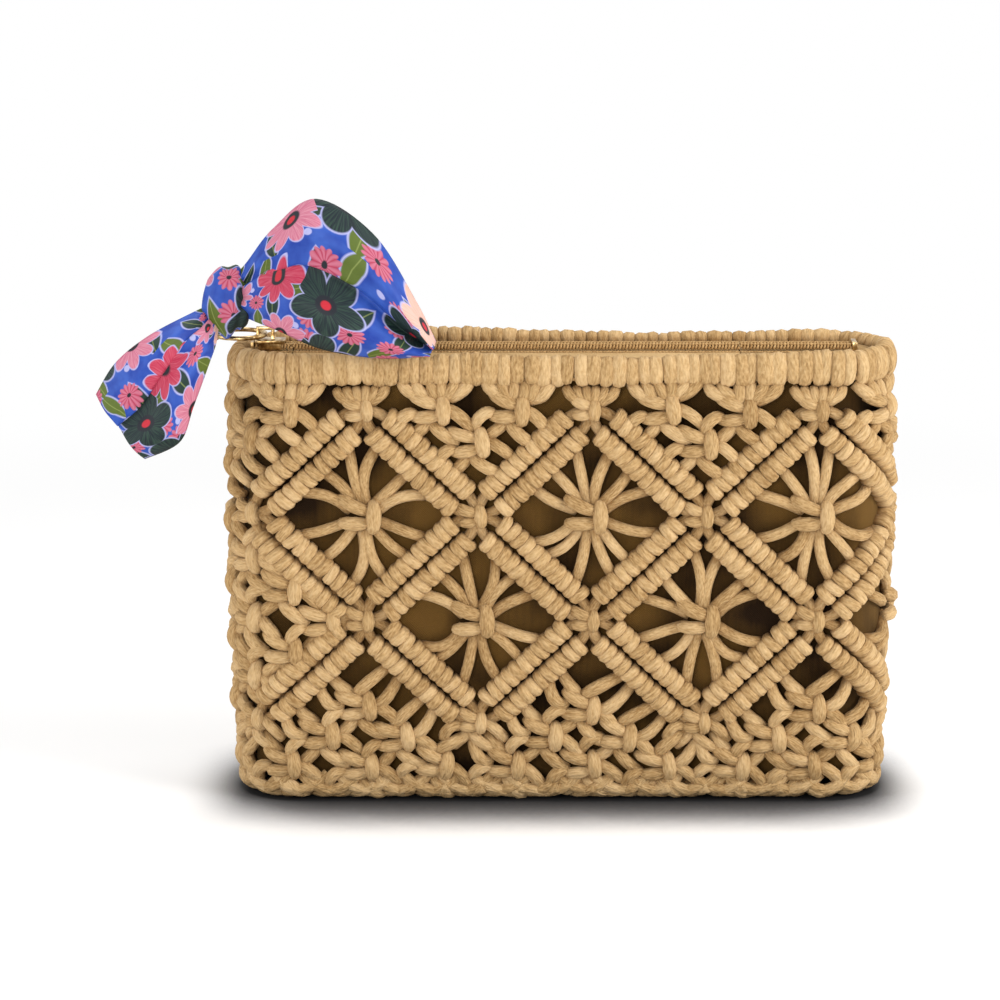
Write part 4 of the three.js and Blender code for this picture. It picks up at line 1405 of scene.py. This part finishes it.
def scarfKnot():  # the ribbon wrapped round itself, pinched where the tails leave
    lying = Matrix.Rotation(math.pi / 2, 4, "Y")
    shape = bmesh.new()
    bmesh.ops.create_uvsphere(shape, u_segments=72, v_segments=40, radius=1, matrix=lying)
    cut = shape.verts.layers.float_vector.new("cloth")
    sizes = Vector(knotMake["size"])
    for vert in shape.verts:
        x, y, z = vert.co
        barrel = math.copysign(abs(x) ** knotMake["fullness"], x)
        twist = knotMake["pleatTwist"] * math.sin(math.atan2(y, z))
        off = (barrel - knotMake["creaseAt"]) / knotMake["creaseWidth"]
        crease = knotMake["crease"] * math.exp(-off ** 2)
        pleat = 1 + knotMake["pleat"] * math.sin(knotMake["pleats"] * barrel + twist) - crease
        hollow = max(0, (abs(x) - knotMake["hollowFrom"]) / (1 - knotMake["hollowFrom"]))
        across = barrel * (1 - knotMake["waist"] * z * z) * (1 - knotMake["hollow"] * hollow ** 1.5)
        angle = math.acos(max(-1, min(1, -y)))  # the print is laid out from the front
        spread = knotMake["printRadius"] * angle / max(1e-6, math.hypot(x, z))
        vert[cut] = Vector((spread * x + knotMake["printShift"], spread * z, 0)) * mm
        vert.co = Vector((across * sizes.x, y * sizes.y * pleat, z * sizes.z * pleat))
    bmesh.ops.rotate(shape, verts=shape.verts, matrix=Matrix.Rotation(knotMake["lean"], 3, "Y"))
    bmesh.ops.scale(shape, verts=shape.verts, vec=(mm, mm, mm))
    bmesh.ops.translate(shape, verts=shape.verts, vec=Vector(knotMake["middle"]) * mm)
    bmesh.ops.recalc_face_normals(shape, faces=shape.faces)
    return scarfPiece("scarf_knot", shape, 0)


left, right, loop, knot = scarfTail("left"), scarfTail("right"), scarfLoop(), scarfKnot()
print("scarf tied")

# Stage: pale floor with a painted shadow round the bag, soft studio light, camera at the photograph's angle
openFloor = (0.95, 0.95, 0.95)
floorMake = {
    "looks": {"Roughness": 0.9, "Specular IOR Level": 0.1},
    "size": 6,
    "stops": [(0.46, (0.015, 0.015, 0.016)), (0.68, (0.13, 0.13, 0.135)),  # painted shadow, from under the bag outwards
              (0.82, (0.48, 0.48, 0.49)), (0.96, openFloor)],
    "paintedShadowReach": 0.05,
    "paintedShadowEnds": (0.124, 0.158),  # where the painted shadow fades out past the ends, in metres
    "whiteRange": (0.25, 0.8),  # where the floor turns plain white for the camera, in metres
}


def seenDirectly(tree):  # 1 for the camera and for what shows in metal or glass
    path = addNode(tree, "LightPath", {}).outputs
    shiny = maths(tree, "MAXIMUM", path["Is Glossy Ray"], path["Is Transmission Ray"])
    return maths(tree, "MAXIMUM", path["Is Camera Ray"], shiny)


def floorMaterial():
    material, tree, shader = newMaterial("pale floor", floorMake["looks"])
    # painted shadow: the floor's colour darkens where the bag is near
    near = addNode(tree, "AmbientOcclusion", {"Distance": floorMake["paintedShadowReach"]}).outputs["AO"]
    place = objectPlace(tree)
    aside = maths(tree, "ABSOLUTE", split(tree, place)[0])
    past = mapRange(tree, aside, *floorMake["paintedShadowEnds"], 0, 1, "SMOOTHSTEP")
    coat(tree, shader, mixColour(tree, past, ramp(tree, near, floorMake["stops"]), openFloor))
    reach = vectorMaths(tree, "LENGTH", place)["Value"]
    away = mapRange(tree, reach, *floorMake["whiteRange"], 0, 1, "SMOOTHSTEP")
    white = addNode(tree, "Emission", {}).outputs[0]
    share = times(tree, away, seenDirectly(tree))
    both = addNode(tree, "MixShader", {0: share, 1: shader.outputs[0], 2: white}).outputs[0]
    tree.links.new(both, tree.nodes["Material Output"].inputs["Surface"])
    return material


def floor():
    shape = bmesh.new()
    bmesh.ops.create_grid(shape, x_segments=1, y_segments=1, size=floorMake["size"])
    mesh = bpy.data.meshes.new("floor")
    shape.to_mesh(mesh)
    shape.free()
    mesh.materials.append(floorMaterial())
    linked("floor", mesh)


lampAim = Vector((0, 0, 0.09))
skyLevel = 0.43  # of its light; it looks plain white
lamps = [  # place, size, power, colour
    ((-0.3, -1.2, 0.46), 0.55, 6.9, (1, 0.985, 0.96)),
    ((1.05, -0.42, 0.58), 0.7, 12.8, (1, 0.99, 0.97)),
    ((-1.1, -0.35, 0.5), 0.7, 4.5, (1, 0.99, 0.98)),
    ((0.0, 0.25, 1.1), 0.8, 5.2, (1, 1, 1)),
]


def lights():
    for place, size, power, colour in lamps:
        lamp = bpy.data.lights.new("soft box", "AREA")
        lamp.shape = "DISK"
        lamp.size = size
        lamp.energy = power
        lamp.color = colour
        holder = linked("soft box", lamp)
        holder.location = place
        holder.rotation_euler = (lampAim - Vector(place)).to_track_quat("-Z", "Y").to_euler()
    world = bpy.data.worlds.new("studio")
    bpy.context.scene.world = world
    world.use_nodes = True
    tree = world.node_tree
    sky = tree.nodes["Background"].inputs
    sky["Color"].default_value = (1, 1, 1, 1)
    tree.links.new(mapRange(tree, seenDirectly(tree), 0, 1, skyLevel, 1), sky["Strength"])


view = {
    "target": (-0.0244, -0.027, 0.1238),
    "distance": 1.4,
    "elevation": 13,
    "frameWidth": 0.391,  # width of the picture at the target
    "sensor": 36,
}


def camera():
    lens = bpy.data.cameras.new("camera")
    lens.sensor_width = view["sensor"]
    lens.lens = view["sensor"] * view["distance"] / view["frameWidth"]
    eye = linked("camera", lens)
    tilt = math.radians(view["elevation"])
    eye.location = Vector(view["target"]) + view["distance"] * Vector((0, -math.cos(tilt), math.sin(tilt)))
    eye.rotation_euler = (math.pi / 2 - tilt, 0, 0)
    bpy.context.scene.camera = eye


floor()
lights()
camera()
bpy.context.scene.view_settings.view_transform = "Standard"
print("stage set")
